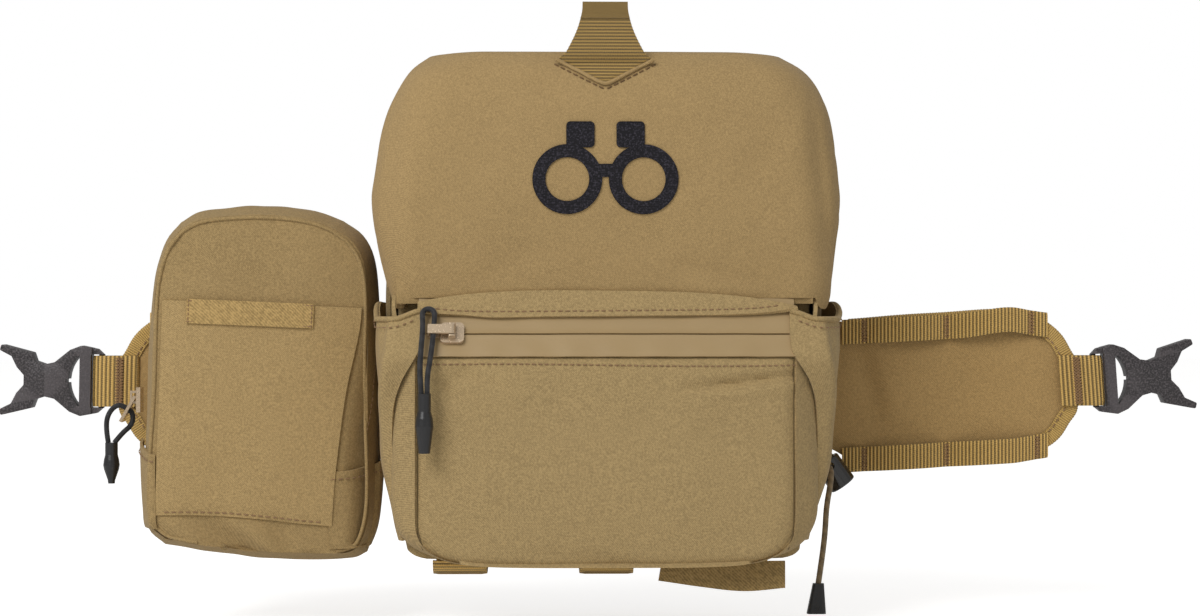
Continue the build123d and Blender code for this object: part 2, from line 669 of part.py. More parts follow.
def buckle_edge():
    """Buckle's outline: rounded end, waist, and two horns either side of the mouth."""
    upper = [
        (37.5, 2.4), (41.0, 6.4), (43.6, 11.6), (49.4, 14.6), (48.6, 17.4), (33.5, 13.6),
        (32.0, 9.4), (27.5, 7.9), (22.5, 9.0), (15.0, 15.2), (9.7, 17.3), (2.0, 15.8), (-1.7, 12.4),
    ]
    return upper + [(x, -z) for x, z in reversed(upper)]


def place_buckle(tilt, side):
    part = Rot(0, -tilt, 0) * buckle()
    part = Pos(END_BAR_X, END_BAR_Y, END_BAR_Z) * part
    return part if side > 0 else mirror_x(part)


# ---- pouch ----------------------------------------------------------------------------------
def pouch_face(inset=0.0):
    w, b, t = POUCH_HALF_W - inset, POUCH_BOTTOM + inset, POUCH_TOP - inset
    points = [(-w + 4, b), (-w, b + 50), (-w, t), (w, t), (w, b + 50), (w - 4, b)]
    radii = [14 - inset, 30, 36 - inset, 36 - inset, 30, 14 - inset]
    return Pos(POUCH_X, 0) * outline(points, radii)


def pouch_rear_shell():
    outer = plate(pouch_face(), POUCH_BACK, POUCH_REAR_D)
    return outer - plate(pouch_face(CLOTH), POUCH_BACK - CLOTH, POUCH_REAR_D)


def pouch_zipper_tape():
    ring = pouch_face(0.4) - pouch_face(6.0)
    return plate(ring, POUCH_BACK - POUCH_REAR_D, POUCH_ZIP)


def pouch_front_shell():
    outer = plate(pouch_face(), POUCH_SEAM, POUCH_FRONT_D, taper=POUCH_TAPER)
    inner = plate(pouch_face(CLOTH), POUCH_SEAM, POUCH_FRONT_D - CLOTH, taper=POUCH_TAPER)
    return outer - inner


def pouch_piping():
    ring = pouch_face(POUCH_INSET) - pouch_face(POUCH_INSET + 2.2)
    return plate(ring, POUCH_FRONT_Y - 0.1, 1.6)


def slip_face(inset=0.0):
    points = [(-207 + inset, 2.5), (-117 - inset, -1), (-119 - inset, -16), (-123 - inset, -48),
              (-128 - inset, -98 + inset), (-207 + inset, -98 + inset)]
    return outline(points, [1, 1, 20, 20, 3, 3])


def pouch_slip_pocket():
    body = plate(slip_face(), POUCH_FRONT_Y - 0.1, SLIP_DEPTH)
    inner = [(-205.5, 10), (-118.5, 10), (-120.5, -16), (-124.5, -48), (-129.5, -96.5), (-205.5, -96.5)]
    cavity = plate(outline(inner, [1, 1, 20, 20, 3, 3]), POUCH_FRONT_Y + 1, SLIP_DEPTH - 1.5 + 1.1)
    return body - cavity - pouch_piping()


def pouch_elastic_pockets():
    """Two small elastic pockets that wrap the front's lower corners."""
    y = POUCH_FRONT_Y - 0.1
    right = [(-124.4, -72), (-116.2, -72), (-119.0, -106), (-124.4, -106)]
    left = [(-212.6, -64), (-207.4, -64), (-207.4, -100), (-210.6, -100)]
    parts = [plate(make_face(Polyline(*p, close=True)), y, 1.4) for p in (right, left)]
    return [p - pouch_piping() for p in parts]


def pouch_label():
    label = plate(Rectangle(60, 11.4), POUCH_FRONT_Y - 0.1 - SLIP_DEPTH, 0.7)
    return Pos(-166, 0, -4.5) * Rot(0, 1.2, 0) * label


def pouch_molle_straps():
    """Two straps behind the pouch, passed under the wing's webbing loops."""
    straps = []
    under = WING_BACK - WING_THICK - BINDING - 0.4
    for x in (-(STRIP_TACKS[0] + STRIP_TACKS[1]) / 2, -(STRIP_TACKS[1] + STRIP_TACKS[2]) / 2):
        wide = (x - 9, x + 9)
        strap = block(wide, (under, under - 1.2), (-100, 22))
        for z in ((14, 22), (-100, -92)):
            strap += block(wide, (under - 1.0, POUCH_BACK + 0.1), z)
        straps.append(strap)
    return straps


def pouch_slider():
    """Slider on the pouch's left side, where the zipper runs straight up."""
    face_x = POUCH_X - POUCH_HALF_W - 0.3
    mid_y = POUCH_SPLIT + POUCH_ZIP / 2
    z = POUCH_SLIDER_Z
    body = block((face_x, face_x - 2.0), (mid_y - 5, mid_y + 5), (z - 6, z + 6))
    for dz in (-1.9, 3.1):
        body += block((face_x - 1.5, face_x - 5.4), (mid_y - 0.7, mid_y + 0.7), (z + dz, z + dz + 1.2))
    body += block((face_x - 4.6, face_x - 5.6), (mid_y - 0.7, mid_y + 0.7), (z - 1.9, z + 4.3))
    return body


def pouch_pull_tab():
    """Triangular ring hooked through the slider's bridge."""
    face_x = POUCH_X - POUCH_HALF_W - 0.3
    mid_y = POUCH_SPLIT + POUCH_ZIP / 2
    z = POUCH_SLIDER_Z + 1.2
    ring = [(-2.2, -0.6), (2.2, -0.6), (4.6, 13.2), (-4.6, 13.2)]
    hole = [(-1.0, 0.9), (1.0, 0.9), (2.4, 9.0), (-2.4, 9.0)]
    face = make_face(Polyline(*ring, close=True)) - make_face(Polyline(*hole, close=True))
    place = Plane(origin=(face_x - 3.4, mid_y, z), x_dir=(0, 1, 0), z_dir=(-0.88, 0, 0.475))
    return place.location * extrude(face, 0.7, both=True)


# ---- cord lock ------------------------------------------------------------------------------
def along_lock(t):
    """Point on the lock's axis, t from its closed end."""
    return LOCK_END - LOCK_AXIS * t


def lock_cylinder(low, high, radius):
    base = Plane(origin=along_lock(low), z_dir=-LOCK_AXIS).location
    return base * Pos(0, 0, (high - low) / 2) * Cylinder(radius, high - low)


def cross_hole(t, radius):
    p = along_lock(t)
    return Pos(p.X, p.Y, p.Z) * Rot(90, 0, 0) * Cylinder(radius, 40)


def cord_lock_barrel():
    barrel = lock_cylinder(0, LOCK_L, LOCK_R)
    barrel = fillet(barrel.edges().filter_by(GeomType.CIRCLE), 1.0)
    return barrel - lock_cylinder(1.5, LOCK_L + 1, LOCK_BORE) - cross_hole(LOCK_HOLE_AT, 1.9)


def cord_lock_plunger():
    stem = lock_cylinder(7.5, LOCK_L + PLUNGER_TRAVEL + 1, LOCK_BORE - 0.25)
    cap = lock_cylinder(LOCK_L + PLUNGER_TRAVEL + 0.4, LOCK_L + PLUNGER_TRAVEL + 3, LOCK_R - 1.2)
    body = stem + cap
    for k in range(5):
        body -= cross_hole(LOCK_HOLE_AT - 0.2 + k * (PLUNGER_TRAVEL + 0.4) / 4, 1.95)
    return body


def cord_lock_spring():
    coil = Helix(pitch=1.6, height=5.0, radius=3.2)
    wire = sweep(Plane(origin=coil @ 0, z_dir=coil % 0) * Circle(0.35), coil, is_frenet=True)
    return Plane(origin=along_lock(2.0), z_dir=-LOCK_AXIS).location * wire


def cord_anchor_tab():
    """Webbing tab sewn into the rear seam, with a hole for the elastic cord."""
    tab = block((PACK_HALF_W + 0.2, LOCK_HOLE.X + 6), (TAB_FACE_Y, TAB_FACE_Y + 1.4),
                (LOCK_HOLE.Z - 6, LOCK_HOLE.Z + 5.4))
    hole = Pos(LOCK_HOLE.X, TAB_FACE_Y, LOCK_HOLE.Z) * Rot(90, 0, 0) * Cylinder(1.0, 8)
    return tab - hole


def cord_knot():
    """Stopper knot behind the anchor tab."""
    stations = [(0.0, 1.8), (1.4, 3.1), (3.8, 3.1), (5.2, 1.6)]
    return round_profile((LOCK_HOLE.X, TAB_FACE_Y + 1.4, LOCK_HOLE.Z), (0, 1, 0), stations)


def shock_cord_end():
    """Moulded end, wider towards the bottom, with a round dimple on its face."""
    x, y, z = CORD_ROUTE[-1]
    low = Plane(origin=(x - 1.0, y, z - 14.6)) * RectangleRounded(9.2, 6.0, 1.8)
    high = Plane(origin=(x, y, z)) * RectangleRounded(5.3, 4.2, 1.2)
    body = loft([high, low])
    dimple = Pos(x - 0.8, y - 3.4, z - 11.4) * Rot(90, 0, 0) * Cylinder(1.5, 1.6)
    return body - dimple


# ---- strap anchors --------------------------------------------------------------------------
def strap_anchor_loops():
    """Webbing loops at the upper rear corners that carry the rings for the shoulder straps."""
    loops = []
    y = SHELL_BACK + SHEET_THICK + 0.1
    r = RING_WIRE + 0.5
    for s in (-1, 1):
        x = s * RING_X
        strap = block((x - WEB_WIDE / 2, x + WEB_WIDE / 2), (y, y + WEB_THICK), (PAD_TOP + 1.5, RING_Z))
        top = Pos(x, y + WEB_THICK + r, RING_Z) * Rot(0, 90, 0) * Cylinder(r + WEB_THICK, WEB_WIDE)
        top = top & block((x - 20, x + 20), (-50, 50), (RING_Z, RING_Z + 20))
        bore = Pos(x, y + WEB_THICK + r, RING_Z) * Rot(0, 90, 0) * Cylinder(r, WEB_WIDE + 2)
        tail = block((x - WEB_WIDE / 2, x + WEB_WIDE / 2),
                     (y + WEB_THICK + 2 * r, y + 2 * WEB_THICK + 2 * r), (RING_Z - 9, RING_Z))
        foot = block((x - WEB_WIDE / 2, x + WEB_WIDE / 2),
                     (y + WEB_THICK - 0.2, y + 2 * WEB_THICK + 2 * r), (RING_Z - 12, RING_Z - 9))
        loops.append(strap + (top - bore) + tail + foot)
    return loops


def d_ring(side):
    """Bent wire ring hanging in a webbing loop."""
    half, top = WEB_WIDE / 2 + 5, WEB_WIDE / 2 - 1
    corners = [(-half, 0, 0), (half, 0, 0), (top, 0, RING_HIGH), (-top, 0, RING_HIGH)]
    path = FilletPolyline(*corners, radius=2.4, close=True)
    ring = sweep(Plane(origin=path @ 0, z_dir=path % 0) * Circle(RING_WIRE / 2), path)
    return Pos(side * RING_X, RING_Y, RING_Z) * ring


# ---- all pieces -----------------------------------------------------------------------------
def lone(shapes):
    """One solid, or a compound of separate solids."""
    return Compound(children=[Part() + s for s in shapes]) if isinstance(shapes, list) else shapes


PIECES = {
    "back_pad": back_pad(),
    "stiffener_sheet": stiffener_sheet(),
    "main_shell": main_shell(),
    "body_liner": body_liner(),
    "floor_pad": floor_pad(),
    "rim_magnets": rim_magnets(),
    "side_gussets": side_gussets(),
    "front_pocket_panel": front_pocket_panel(),
    "front_pocket_gusset": front_pocket_gusset(),
    "storm_flap": storm_flap(),
    "zipper_tape_lower": zipper_tape(0.4, SLIT_AT - SLIT / 2),
    "zipper_tape_upper": zipper_tape(SLIT_AT + SLIT / 2, SLOPE_L - 1.2),
    "zipper_coil": zipper_coil(),
    "front_slider": front_slider(),
    "front_pull_tab": front_pull_tab(),
    "front_pull_cord": cord(FRONT_PULL_ROUTE, PULL_CORD_D, PULL_CORD_D),
    "front_pull_grip": grip(FRONT_GRIP_TOP, 27.0, 3.0, 4.2, 2.6),
    "side_pocket_left": mirror_x(side_pocket(SIDE_BULGE_LEFT)),
    "side_pocket_right": side_pocket(SIDE_BULGE_RIGHT),
    "bottom_webbing_loops": bottom_webbing_loops(),
    "hanging_label": hanging_label(),
    "lid_shell": lid_shell(),
    "lid_front_panel": lid_front_panel(),
    "lid_pull_tab": lid_pull_tab(),
    "lid_emblem": lid_emblem(),
    "lid_foam": lid_foam(),
    "lid_magnets": lid_magnets(),
    "wing_panel_right": wing_panel(),
    "wing_panel_left": mirror_x(wing_panel()),
    "wing_binding_right": wing_binding(),
    "wing_binding_left": mirror_x(wing_binding()),
    "molle_strips_right": molle_strips(),
    "molle_strips_left": [mirror_x(s) for s in molle_strips()],
    "end_webbing_right": end_webbing(RIGHT_BUCKLE_TILT, 1),
    "end_webbing_left": end_webbing(LEFT_BUCKLE_TILT, -1),
    "buckle_right": place_buckle(RIGHT_BUCKLE_TILT, 1),
    "buckle_left": place_buckle(LEFT_BUCKLE_TILT, -1),
    "pouch_rear_shell": pouch_rear_shell(),
    "pouch_zipper_tape": pouch_zipper_tape(),
    "pouch_front_shell": pouch_front_shell(),
    "pouch_piping": pouch_piping(),
    "pouch_slip_pocket": pouch_slip_pocket(),
    "pouch_elastic_pockets": pouch_elastic_pockets(),
    "pouch_label": pouch_label(),
    "pouch_molle_straps": pouch_molle_straps(),
    "pouch_slider": pouch_slider(),
    "pouch_pull_tab": pouch_pull_tab(),
    "pouch_pull_cord": cord(POUCH_PULL_ROUTE, PULL_CORD_D, PULL_CORD_D),
    "pouch_pull_grip": grip(POUCH_GRIP_TOP, 19.5, 3.0, 3.9, 1.6),
    "cord_anchor_tab": cord_anchor_tab(),
    "shock_cord": cord(CORD_ROUTE, CORD_D, 3 * CORD_D),
    "cord_knot": cord_knot(),
    "shock_cord_end": shock_cord_end(),
    "cord_lock_barrel": cord_lock_barrel(),
    "cord_lock_plunger": cord_lock_plunger(),
    "cord_lock_spring": cord_lock_spring(),
    "strap_anchor_loops": strap_anchor_loops(),
    "d_ring_left": d_ring(-1),
    "d_ring_right": d_ring(1),
}

for node, shape in PIECES.items():
    export_step(lone(shape), f"parts/{node}.step")
print(len(PIECES), "pieces")
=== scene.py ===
"""Looks of the binocular harness pack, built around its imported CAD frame. Sizes are in metres."""
import math

import bmesh
import bpy
from mathutils import Matrix, Vector, noise


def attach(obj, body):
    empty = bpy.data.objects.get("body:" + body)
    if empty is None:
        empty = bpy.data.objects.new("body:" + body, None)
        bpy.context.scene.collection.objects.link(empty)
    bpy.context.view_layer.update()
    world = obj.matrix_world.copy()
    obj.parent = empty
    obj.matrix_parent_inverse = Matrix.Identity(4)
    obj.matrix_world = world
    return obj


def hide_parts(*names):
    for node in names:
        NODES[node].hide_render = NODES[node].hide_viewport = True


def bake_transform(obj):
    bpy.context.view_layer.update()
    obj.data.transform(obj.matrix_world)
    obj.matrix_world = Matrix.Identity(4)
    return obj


bl_info = {
    "name": "Binocular harness pack",
    "version": (1, 0, 0),
    "blender": (4, 5, 0),
    "location": "View3D > Sidebar > Pack",
    "description": "Builds the cloth, webbing and fittings of a binocular harness pack",
    "category": "Object",
}

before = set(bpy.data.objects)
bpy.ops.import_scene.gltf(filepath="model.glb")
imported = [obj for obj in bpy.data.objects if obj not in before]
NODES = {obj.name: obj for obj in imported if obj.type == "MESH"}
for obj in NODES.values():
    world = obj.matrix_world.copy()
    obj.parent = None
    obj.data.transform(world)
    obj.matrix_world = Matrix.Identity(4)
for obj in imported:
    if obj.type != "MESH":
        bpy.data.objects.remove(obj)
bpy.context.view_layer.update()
MM = 0.001
MERGE = 0.00001
SIDES = ((1, "right"), (-1, "left"))

# the main pieces' places in the frame, in millimetres
HOOD_TOP = 118.5
PULL_RIB = 1.5
HOOD_REAR_HEM = 93.5
HOOD_LEFT = [(-5, 98.5), (4, 99.4), (13, 101.2), (23, 103.8), (32, 106), (41, 107.4), (51, 108), (60, 107.2),
             (70, 105.6), (79, 104.2), (89, 101.4), (98, 98), (107, 93.4), (113, 89), (118.5, 82)]
HOOD_RIGHT = [(-5, 105), (4, 105.6), (13, 106.2), (23, 107), (32, 108), (41, 109.6), (51, 110), (60, 109.4),
              (70, 108.6), (79, 107.4), (89, 105.8), (98, 102.8), (107, 97.6), (113, 92), (118.5, 84)]
HOOD_FRONT = [(-5, -97), (7.5, -98.5), (20, -100), (50, -103), (80, -102.5), (100, -99.5),
              (111, -95), (118.5, -87)]
HOOD_HEM = [(-104, 4.6), (-92, 5.5), (-62, 24), (-14, 38)]
POCKET_FRONT = -112.0
POCKET_FOOT = -118.6
PANEL_TOP = -21.7
SLOPE_UP = Vector((0, 0.5, 0.866))
SLOPE_OUT = Vector((0, -0.866, 0.5))
WING_TOP = [(92, -7.5), (120, -6.6), (150, -4.2), (171, -3.0), (200, -1.4), (215, -4.2), (228, -13),
            (236.5, -28)]
WING_LOW = [(92, -66), (112, -69), (132, -78.6), (171, -76.4), (206, -72.6), (225, -66.5), (236.5, -50)]
WING_FRONT_Y = -13.2
BAR = Vector((246, -11, -36))
POUCH_SIDES = (
    [(-209, -113), (-217, -106), (-218.6, -95), (-218.8, -70), (-217.6, -30), (-216, 0), (-214.4, 14),
     (-212, 24), (-208, 34), (-201.5, 41.5)],
    [(-201.5, 41.5), (-193, 46), (-180, 48.2), (-163, 49), (-146, 48), (-134, 45.6), (-124.5, 41.8)],
    [(-124.5, 41.8), (-115.5, 35), (-110, 25), (-107.5, 10), (-106.6, -20), (-106.6, -70), (-107.5, -95),
     (-109, -106), (-113, -117)],
    [(-113, -117), (-119, -120), (-140, -120.5), (-165, -119.5), (-190, -116.5), (-209, -113)])
SLIP_RIGHT = [(-101, -127.9), (-77, -126), (-40.6, -121.3), (-11.8, -115.2), (0, -113.9), (40, -112)]
POUCH_HEART = Vector((-162, -36))
POUCH_SEAM_Y = -43.0
POUCH_FACE_Y = -66.5
POUCH_REAR_Y = -21.6

# folds in the cloth: where each starts and ends, its width and its depth
HOOD_FOLDS = [((18, 99), (38, 92), 3.5, 1.0), ((-14, 97), (-38, 104), 5, 0.9),
              ((-96, 96), (-101, 20), 5, 2.0), ((96, 98), (103, 26), 4, 2.2),
              ((88, 100), (70, 60), 7, 1.0), ((-24, 99), (-64, 112), 4, 1.1),
              ((-60, 12), (-30, 26), 5, 0.8), ((70, 12), (30, 20), 4, 0.7)]
POCKET_FOLDS = [((92, -30.0), (36, -37), 2.2, 2.9), ((88, -34), (44, -41), 3.0, -1.0),
                ((-80, -25), (-68, -42), 2.0, 1.9), ((-84, -30), (-77, -54), 2.6, 1.6),
                ((-62, -27), (-76, -40), 2.2, 1.3), ((-30, -112), (20, -117), 3, 0.8),
                ((-70, -30), (-46, -36), 2.2, 0.9), ((-74, -60), (-60, -100), 5, 0.7)]
POUCH_FOLDS = [((-196, 22), (-150, 8), 7, 1.3), ((-206, 34), (-190, 20), 5, 0.8)]

# the cords' routes, the same points as their solids
SHOCK_ROUTE = [(0.11205, -0.01, -0.07729), (0.11205, -0.0335, -0.07729), (0.111, -0.0396, -0.0846),
               (0.1087, -0.0406, -0.0965), (0.1082, -0.0402, -0.1085), (0.1068, -0.0395, -0.121),
               (0.105, -0.039, -0.1336)]
FRONT_PULL_ROUTE = [(-0.0834, -0.1204, -0.0385), (-0.0842, -0.1196, -0.029), (-0.0838, -0.116, -0.019),
                    (-0.0832, -0.1106, -0.0098), (-0.0835, -0.1072, -0.0043),
                    (-0.0836, -0.10565, -0.00182), (-0.08196, -0.10481, -0.0004),
                    (-0.07964, -0.10474, -0.00044), (-0.078, -0.10544, -0.00194),
                    (-0.0781, -0.1074, -0.0059), (-0.0784, -0.1096, -0.0104),
                    (-0.0787, -0.1132, -0.0156), (-0.0796, -0.1176, -0.024),
                    (-0.0809, -0.1202, -0.031), (-0.0808, -0.1204, -0.0385)]
POUCH_PULL_ROUTE = [(-0.2369, -0.0446, -0.0646), (-0.2382, -0.0444, -0.0575),
                    (-0.2372, -0.0438, -0.0505), (-0.2328, -0.0429, -0.046),
                    (-0.2279, -0.0421, -0.0483), (-0.2254, -0.0416, -0.0512),
                    (-0.2262, -0.0418, -0.0564), (-0.2306, -0.043, -0.06),
                    (-0.234, -0.0446, -0.0646)]


# ---- settings ---------------------------------------------------------------------------------
def colour_setting(name, description, default):
    return bpy.props.FloatVectorProperty(
        name=name, description=description, default=default, subtype="COLOR", size=3, min=0.0, max=1.0)


def length_setting(name, description, default):
    return bpy.props.FloatProperty(
        name=name, description=description, default=default, unit="LENGTH", precision=5, min=0.0)


class PackColours(bpy.types.PropertyGroup):
    """Colours of the pack's cloth and fittings"""

    hood: colour_setting("Hood", "Hood cloth", (0.385, 0.262, 0.116))
    pocket: colour_setting("Pockets", "Front and side pocket cloth", (0.385, 0.274, 0.126))
    pouch: colour_setting("Pouch", "Pouch cloth", (0.355, 0.245, 0.108))
    wing: colour_setting("Wings", "Cloth between the webbing strips", (0.42, 0.27, 0.108))
    webbing: colour_setting("Webbing", "Webbing strips, ends and tabs", (0.54, 0.345, 0.10))
    label: colour_setting("Labels", "Woven labels", (0.43, 0.29, 0.115))
    tape: colour_setting("Zipper tape", "Smooth coated tape", (0.40, 0.28, 0.135))
    lining: colour_setting("Lining", "Inner cloth", (0.10, 0.075, 0.042))
    metal: colour_setting("Slider", "Coating of the zipper sliders", (0.52, 0.40, 0.27))
    plastic: colour_setting("Buckles", "Moulded buckle plastic", (0.046, 0.040, 0.042))


class PackSizes(bpy.types.PropertyGroup):
    """Sizes of the pack's small details"""

    rib_pitch: length_setting("Rib pitch", "Distance between the ribs of narrow webbing", 0.0018)
    end_pitch: length_setting("End rib pitch", "Distance between the ribs of the end webbing", 0.0021)
    stitch_pitch: length_setting("Stitch pitch", "Distance from one stitch to the next", 0.0030)
    stitch_long: length_setting("Stitch length", "Length of the thread that shows", 0.0020)
    thread: length_setting("Thread", "Thickness of the sewing thread", 0.00065)
    floor_drop: length_setting("Floor", "Distance of the floor below the middle of the back", 0.152)


def sizes():
    return bpy.context.scene.pack_sizes


def colours():
    return bpy.context.scene.pack_colours


# ---- modelling helpers --------------------------------------------------------------------------
def deselect():
    bpy.ops.object.select_all(action="DESELECT")


def only(piece):
    """Selects this piece alone and makes it the active one."""
    deselect()
    piece.select_set(True)
    bpy.context.view_layer.objects.active = piece


def finish_modifier(piece, kind, **settings):
    only(piece)
    modifier = piece.modifiers.new(kind.title(), kind)
    for key, value in settings.items():
        setattr(modifier, key, value)
    bpy.ops.object.modifier_apply(modifier=modifier.name)
    return piece


def edit(piece, choice="SELECT"):
    """Opens a piece in edit mode with all of its faces selected, or none of them."""
    only(piece)
    bpy.ops.object.mode_set(mode="EDIT")
    bpy.ops.mesh.select_mode(type="FACE")
    bpy.ops.mesh.select_all(action=choice)


def leave_edit():
    bpy.ops.object.mode_set(mode="OBJECT")


def delete_faces(piece, test):
    """Deletes the faces whose middle passes the test."""
    edit(piece, "DESELECT")
    mesh = bmesh.from_edit_mesh(piece.data)
    for face in mesh.faces:
        face.select_set(bool(test(face.calc_center_median())))
    bmesh.update_edit_mesh(piece.data)
    bpy.ops.mesh.delete(type="FACE")
    leave_edit()


def named(name):
    piece = bpy.context.active_object
    piece.name = piece.data.name = name
    return piece


def smooth_edges(piece, angle=40):
    only(piece)
    bpy.ops.object.shade_smooth_by_angle(angle=math.radians(angle))
    return piece


def flip(piece):
    edit(piece)
    bpy.ops.mesh.flip_normals()
    leave_edit()


def mix(a, b, t):
    return a + (b - a) * t


def ease(t):
    t = min(1.0, max(0.0, t))
    return t * t * (3 - 2 * t)


def hermite(p0, p1, m0, m1, t):
    return ((2 * t**3 - 3 * t**2 + 1) * p0 + (t**3 - 2 * t**2 + t) * m0
            + (3 * t**2 - 2 * t**3) * p1 + (t**3 - t**2) * m1)


def curve_at(table, t):
    """Smooth value at t of a list of (place, value), held at its ends."""
    if t <= table[0][0]:
        return table[0][1]
    if t >= table[-1][0]:
        return table[-1][1]
    k = max(i for i in range(len(table) - 1) if table[i][0] <= t)
    (t0, v0), (t1, v1) = table[k], table[k + 1]

    def slope(i):
        a, b = table[max(i - 1, 0)], table[min(i + 1, len(table) - 1)]
        return (b[1] - a[1]) / (b[0] - a[0])

    span = t1 - t0
    return hermite(v0, v1, slope(k) * span, slope(k + 1) * span, (t - t0) / span)


def line_at(points, u):
    """Point at share u of the way along a smooth line through the points."""
    points = [Vector(p) for p in points]
    marks = [0.0]
    for a, b in zip(points, points[1:]):
        marks.append(marks[-1] + (b - a).length)
    return Vector([curve_at([(m, p[i]) for m, p in zip(marks, points)], u * marks[-1])
                   for i in range(len(points[0]))])


def rounded(a, b, power):
    """Point of a square moved in so that the square's corners are rounded."""
    reach = max(abs(a), abs(b))
    if reach < 1e-9:
        return a, b
    k = (abs(a / reach) ** power + abs(b / reach) ** power) ** (-1 / power)
    return a * k, b * k


def crease(p, start, end, width, depth):
    """Depth at p of a fold that fades at both ends."""
    start, end, p = Vector(start), Vector(end), Vector(p)
    run = end - start
    t = min(1.0, max(0.0, (p - start).dot(run) / run.length_squared))
    away = (p - (start + run * t)).length
    return depth * math.exp(-((away / width) ** 2)) * (0.25 + 0.75 * math.sin(math.pi * mix(0.12, 0.88, t)))


def creases(p, folds):
    return sum(crease(p, *fold) for fold in folds)


def ripple(x, y, z, scale, seed=0.0):
    """Soft unevenness of cloth, from -1 to 1, over distances of about scale millimetres."""
    return noise.noise(Vector((x / scale + seed, y / scale, z / scale)))


def patch(name, columns, rows, place, thick, flipped=False, size=None):
    """Grid shaped into cloth by place(u, v), in millimetres, thickened; size scales its UV map."""
    deselect()
    bpy.ops.mesh.primitive_grid_add(x_subdivisions=columns, y_subdivisions=rows, size=2)
    piece = named(name)
    if size:
        for corner in piece.data.uv_layers.active.data:
            corner.uv = (corner.uv[0] * size[0], corner.uv[1] * size[1])
    for vertex in piece.data.vertices:
        vertex.co = Vector(place((vertex.co.x + 1) / 2, (vertex.co.y + 1) / 2)) * MM
    if flipped:
        flip(piece)
    if thick:
        finish_modifier(piece, "SOLIDIFY", thickness=thick * MM, offset=-1)
    return smooth_edges(piece, 60)


def bag(name, cuts, place, drop, thick=2.0):
    """Cube cut into a fine net, opened where drop says and shaped by place(a, b, c), each -1 to 1."""
    deselect()
    bpy.ops.mesh.primitive_cube_add(size=2)
    piece = named(name)
    edit(piece)
    bpy.ops.mesh.subdivide(number_cuts=cuts)
    leave_edit()
    if drop:
        delete_faces(piece, drop)
    for vertex in piece.data.vertices:
        vertex.co = Vector(place(*vertex.co)) * MM
    if thick:
        finish_modifier(piece, "SOLIDIFY", thickness=thick * MM, offset=-1)
    return smooth_edges(piece, 60)


def strap(name, line, across, wide, pitch, thick=1.4, rib=0.22):
    """Webbing along a smooth line in millimetres, with ribs across it at this pitch."""
    across = Vector(across).normalized()
    length = sum((Vector(b) - Vector(a)).length for a, b in zip(line, line[1:]))
    marks = [line_at(line, k / 200) for k in range(201)]

    def place(u, v):
        k = min(int(u * 200), 199)
        here = marks[k].lerp(marks[k + 1], u * 200 - k)
        tangent = (marks[min(k + 2, 200)] - marks[max(k - 1, 0)]).normalized()
        normal = tangent.cross(across).normalized()
        side = v * 2 - 1
        lift = rib * math.sin(2 * math.pi * u * length / pitch) * min(1, (1 - abs(side)) * 8)
        lift -= 0.35 * max(0, abs(side) - 0.9) * 10 * thick * 0.3
        return here + across * side * wide / 2 + normal * lift

    columns = min(520, int(length / pitch * 6))
    piece = patch(name, columns, 10, place, thick, size=(length * MM, MM * wide))
    return smooth_edges(piece, 75)


def wire(name, points, radius, order=3):
    """Round-section line along a smooth spline through control points in metres."""
    data = bpy.data.curves.new(name, "CURVE")
    data.dimensions = "3D"
    data.bevel_depth = radius
    data.bevel_resolution = 4
    data.resolution_u = 12
    data.use_fill_caps = True
    spline = data.splines.new("NURBS")
    spline.points.add(len(points) - 1)
    for point, place in zip(spline.points, points):
        point.co = (*place, 1.0)
    spline.order_u = order
    spline.use_endpoint_u = True
    piece = bpy.data.objects.new(name, data)
    bpy.context.scene.collection.objects.link(piece)
    return piece


def as_mesh(piece):
    only(piece)
    bpy.ops.object.convert(target="MESH")
    return bpy.context.active_object


def stitches(name, points, pitch=None, long=None, radius=None):
    """Row of sewing stitches along points in millimetres: one stitch, repeated along the line."""
    path = wire(name + "_line", [Vector(p) * MM for p in points], 0)
    path.data.resolution_u = 8
    pitch, long = pitch or sizes().stitch_pitch, long or sizes().stitch_long
    radius = radius or sizes().thread / 2
    deselect()
    bpy.ops.mesh.primitive_cylinder_add(vertices=6, radius=radius, depth=long, rotation=(0, math.pi / 2, 0))
    piece = named(name)
    bpy.ops.object.transform_apply(location=True, rotation=True, scale=True)
    edit(piece)
    bpy.ops.mesh.bevel(offset=radius * 0.6, segments=1)
    leave_edit()
    finish_modifier(piece, "ARRAY", fit_type="FIT_CURVE", curve=path, use_relative_offset=False,
                    use_constant_offset=True, constant_offset_displace=(pitch, 0, 0))
    finish_modifier(piece, "CURVE", object=path, deform_axis="POS_X")
    bpy.data.objects.remove(path)
    return smooth_edges(piece, 60)


def zigzag(name, low, high, width=1.6, pitch=0.8, radius=0.00022):
    """Bar tack on a front: thread running to and fro between two points in millimetres."""
    low, high = Vector(low), Vector(high)
    run = high - low
    side = run.normalized().cross(Vector((0, -1, 0))) * width / 2
    count = max(4, int(run.length / pitch))
    points = [(low + run * k / count + side * (1 if k % 2 else -1)) * MM for k in range(count + 1)]
    return as_mesh(wire(name, points, radius, order=2))


def join(name, pieces):
    only(pieces[0])
    for piece in pieces:
        piece.select_set(True)
    if len(pieces) > 1:
        bpy.ops.object.join()
    return named(name)


def dress(piece, finish, body=None, replaces=()):
    """Gives a piece its finish, the body it moves with and the nodes it stands for."""
    piece.data.materials.clear()
    piece.data.materials.append(look(finish))
    if replaces:
        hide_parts(*replaces)
    if body:
        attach(piece, body)
    return piece


def dress_nodes(finish, *nodes):
    """Gives CAD nodes that stay visible their finish."""
    for node in nodes:
        NODES[node].data.materials.clear()
        NODES[node].data.materials.append(look(finish))


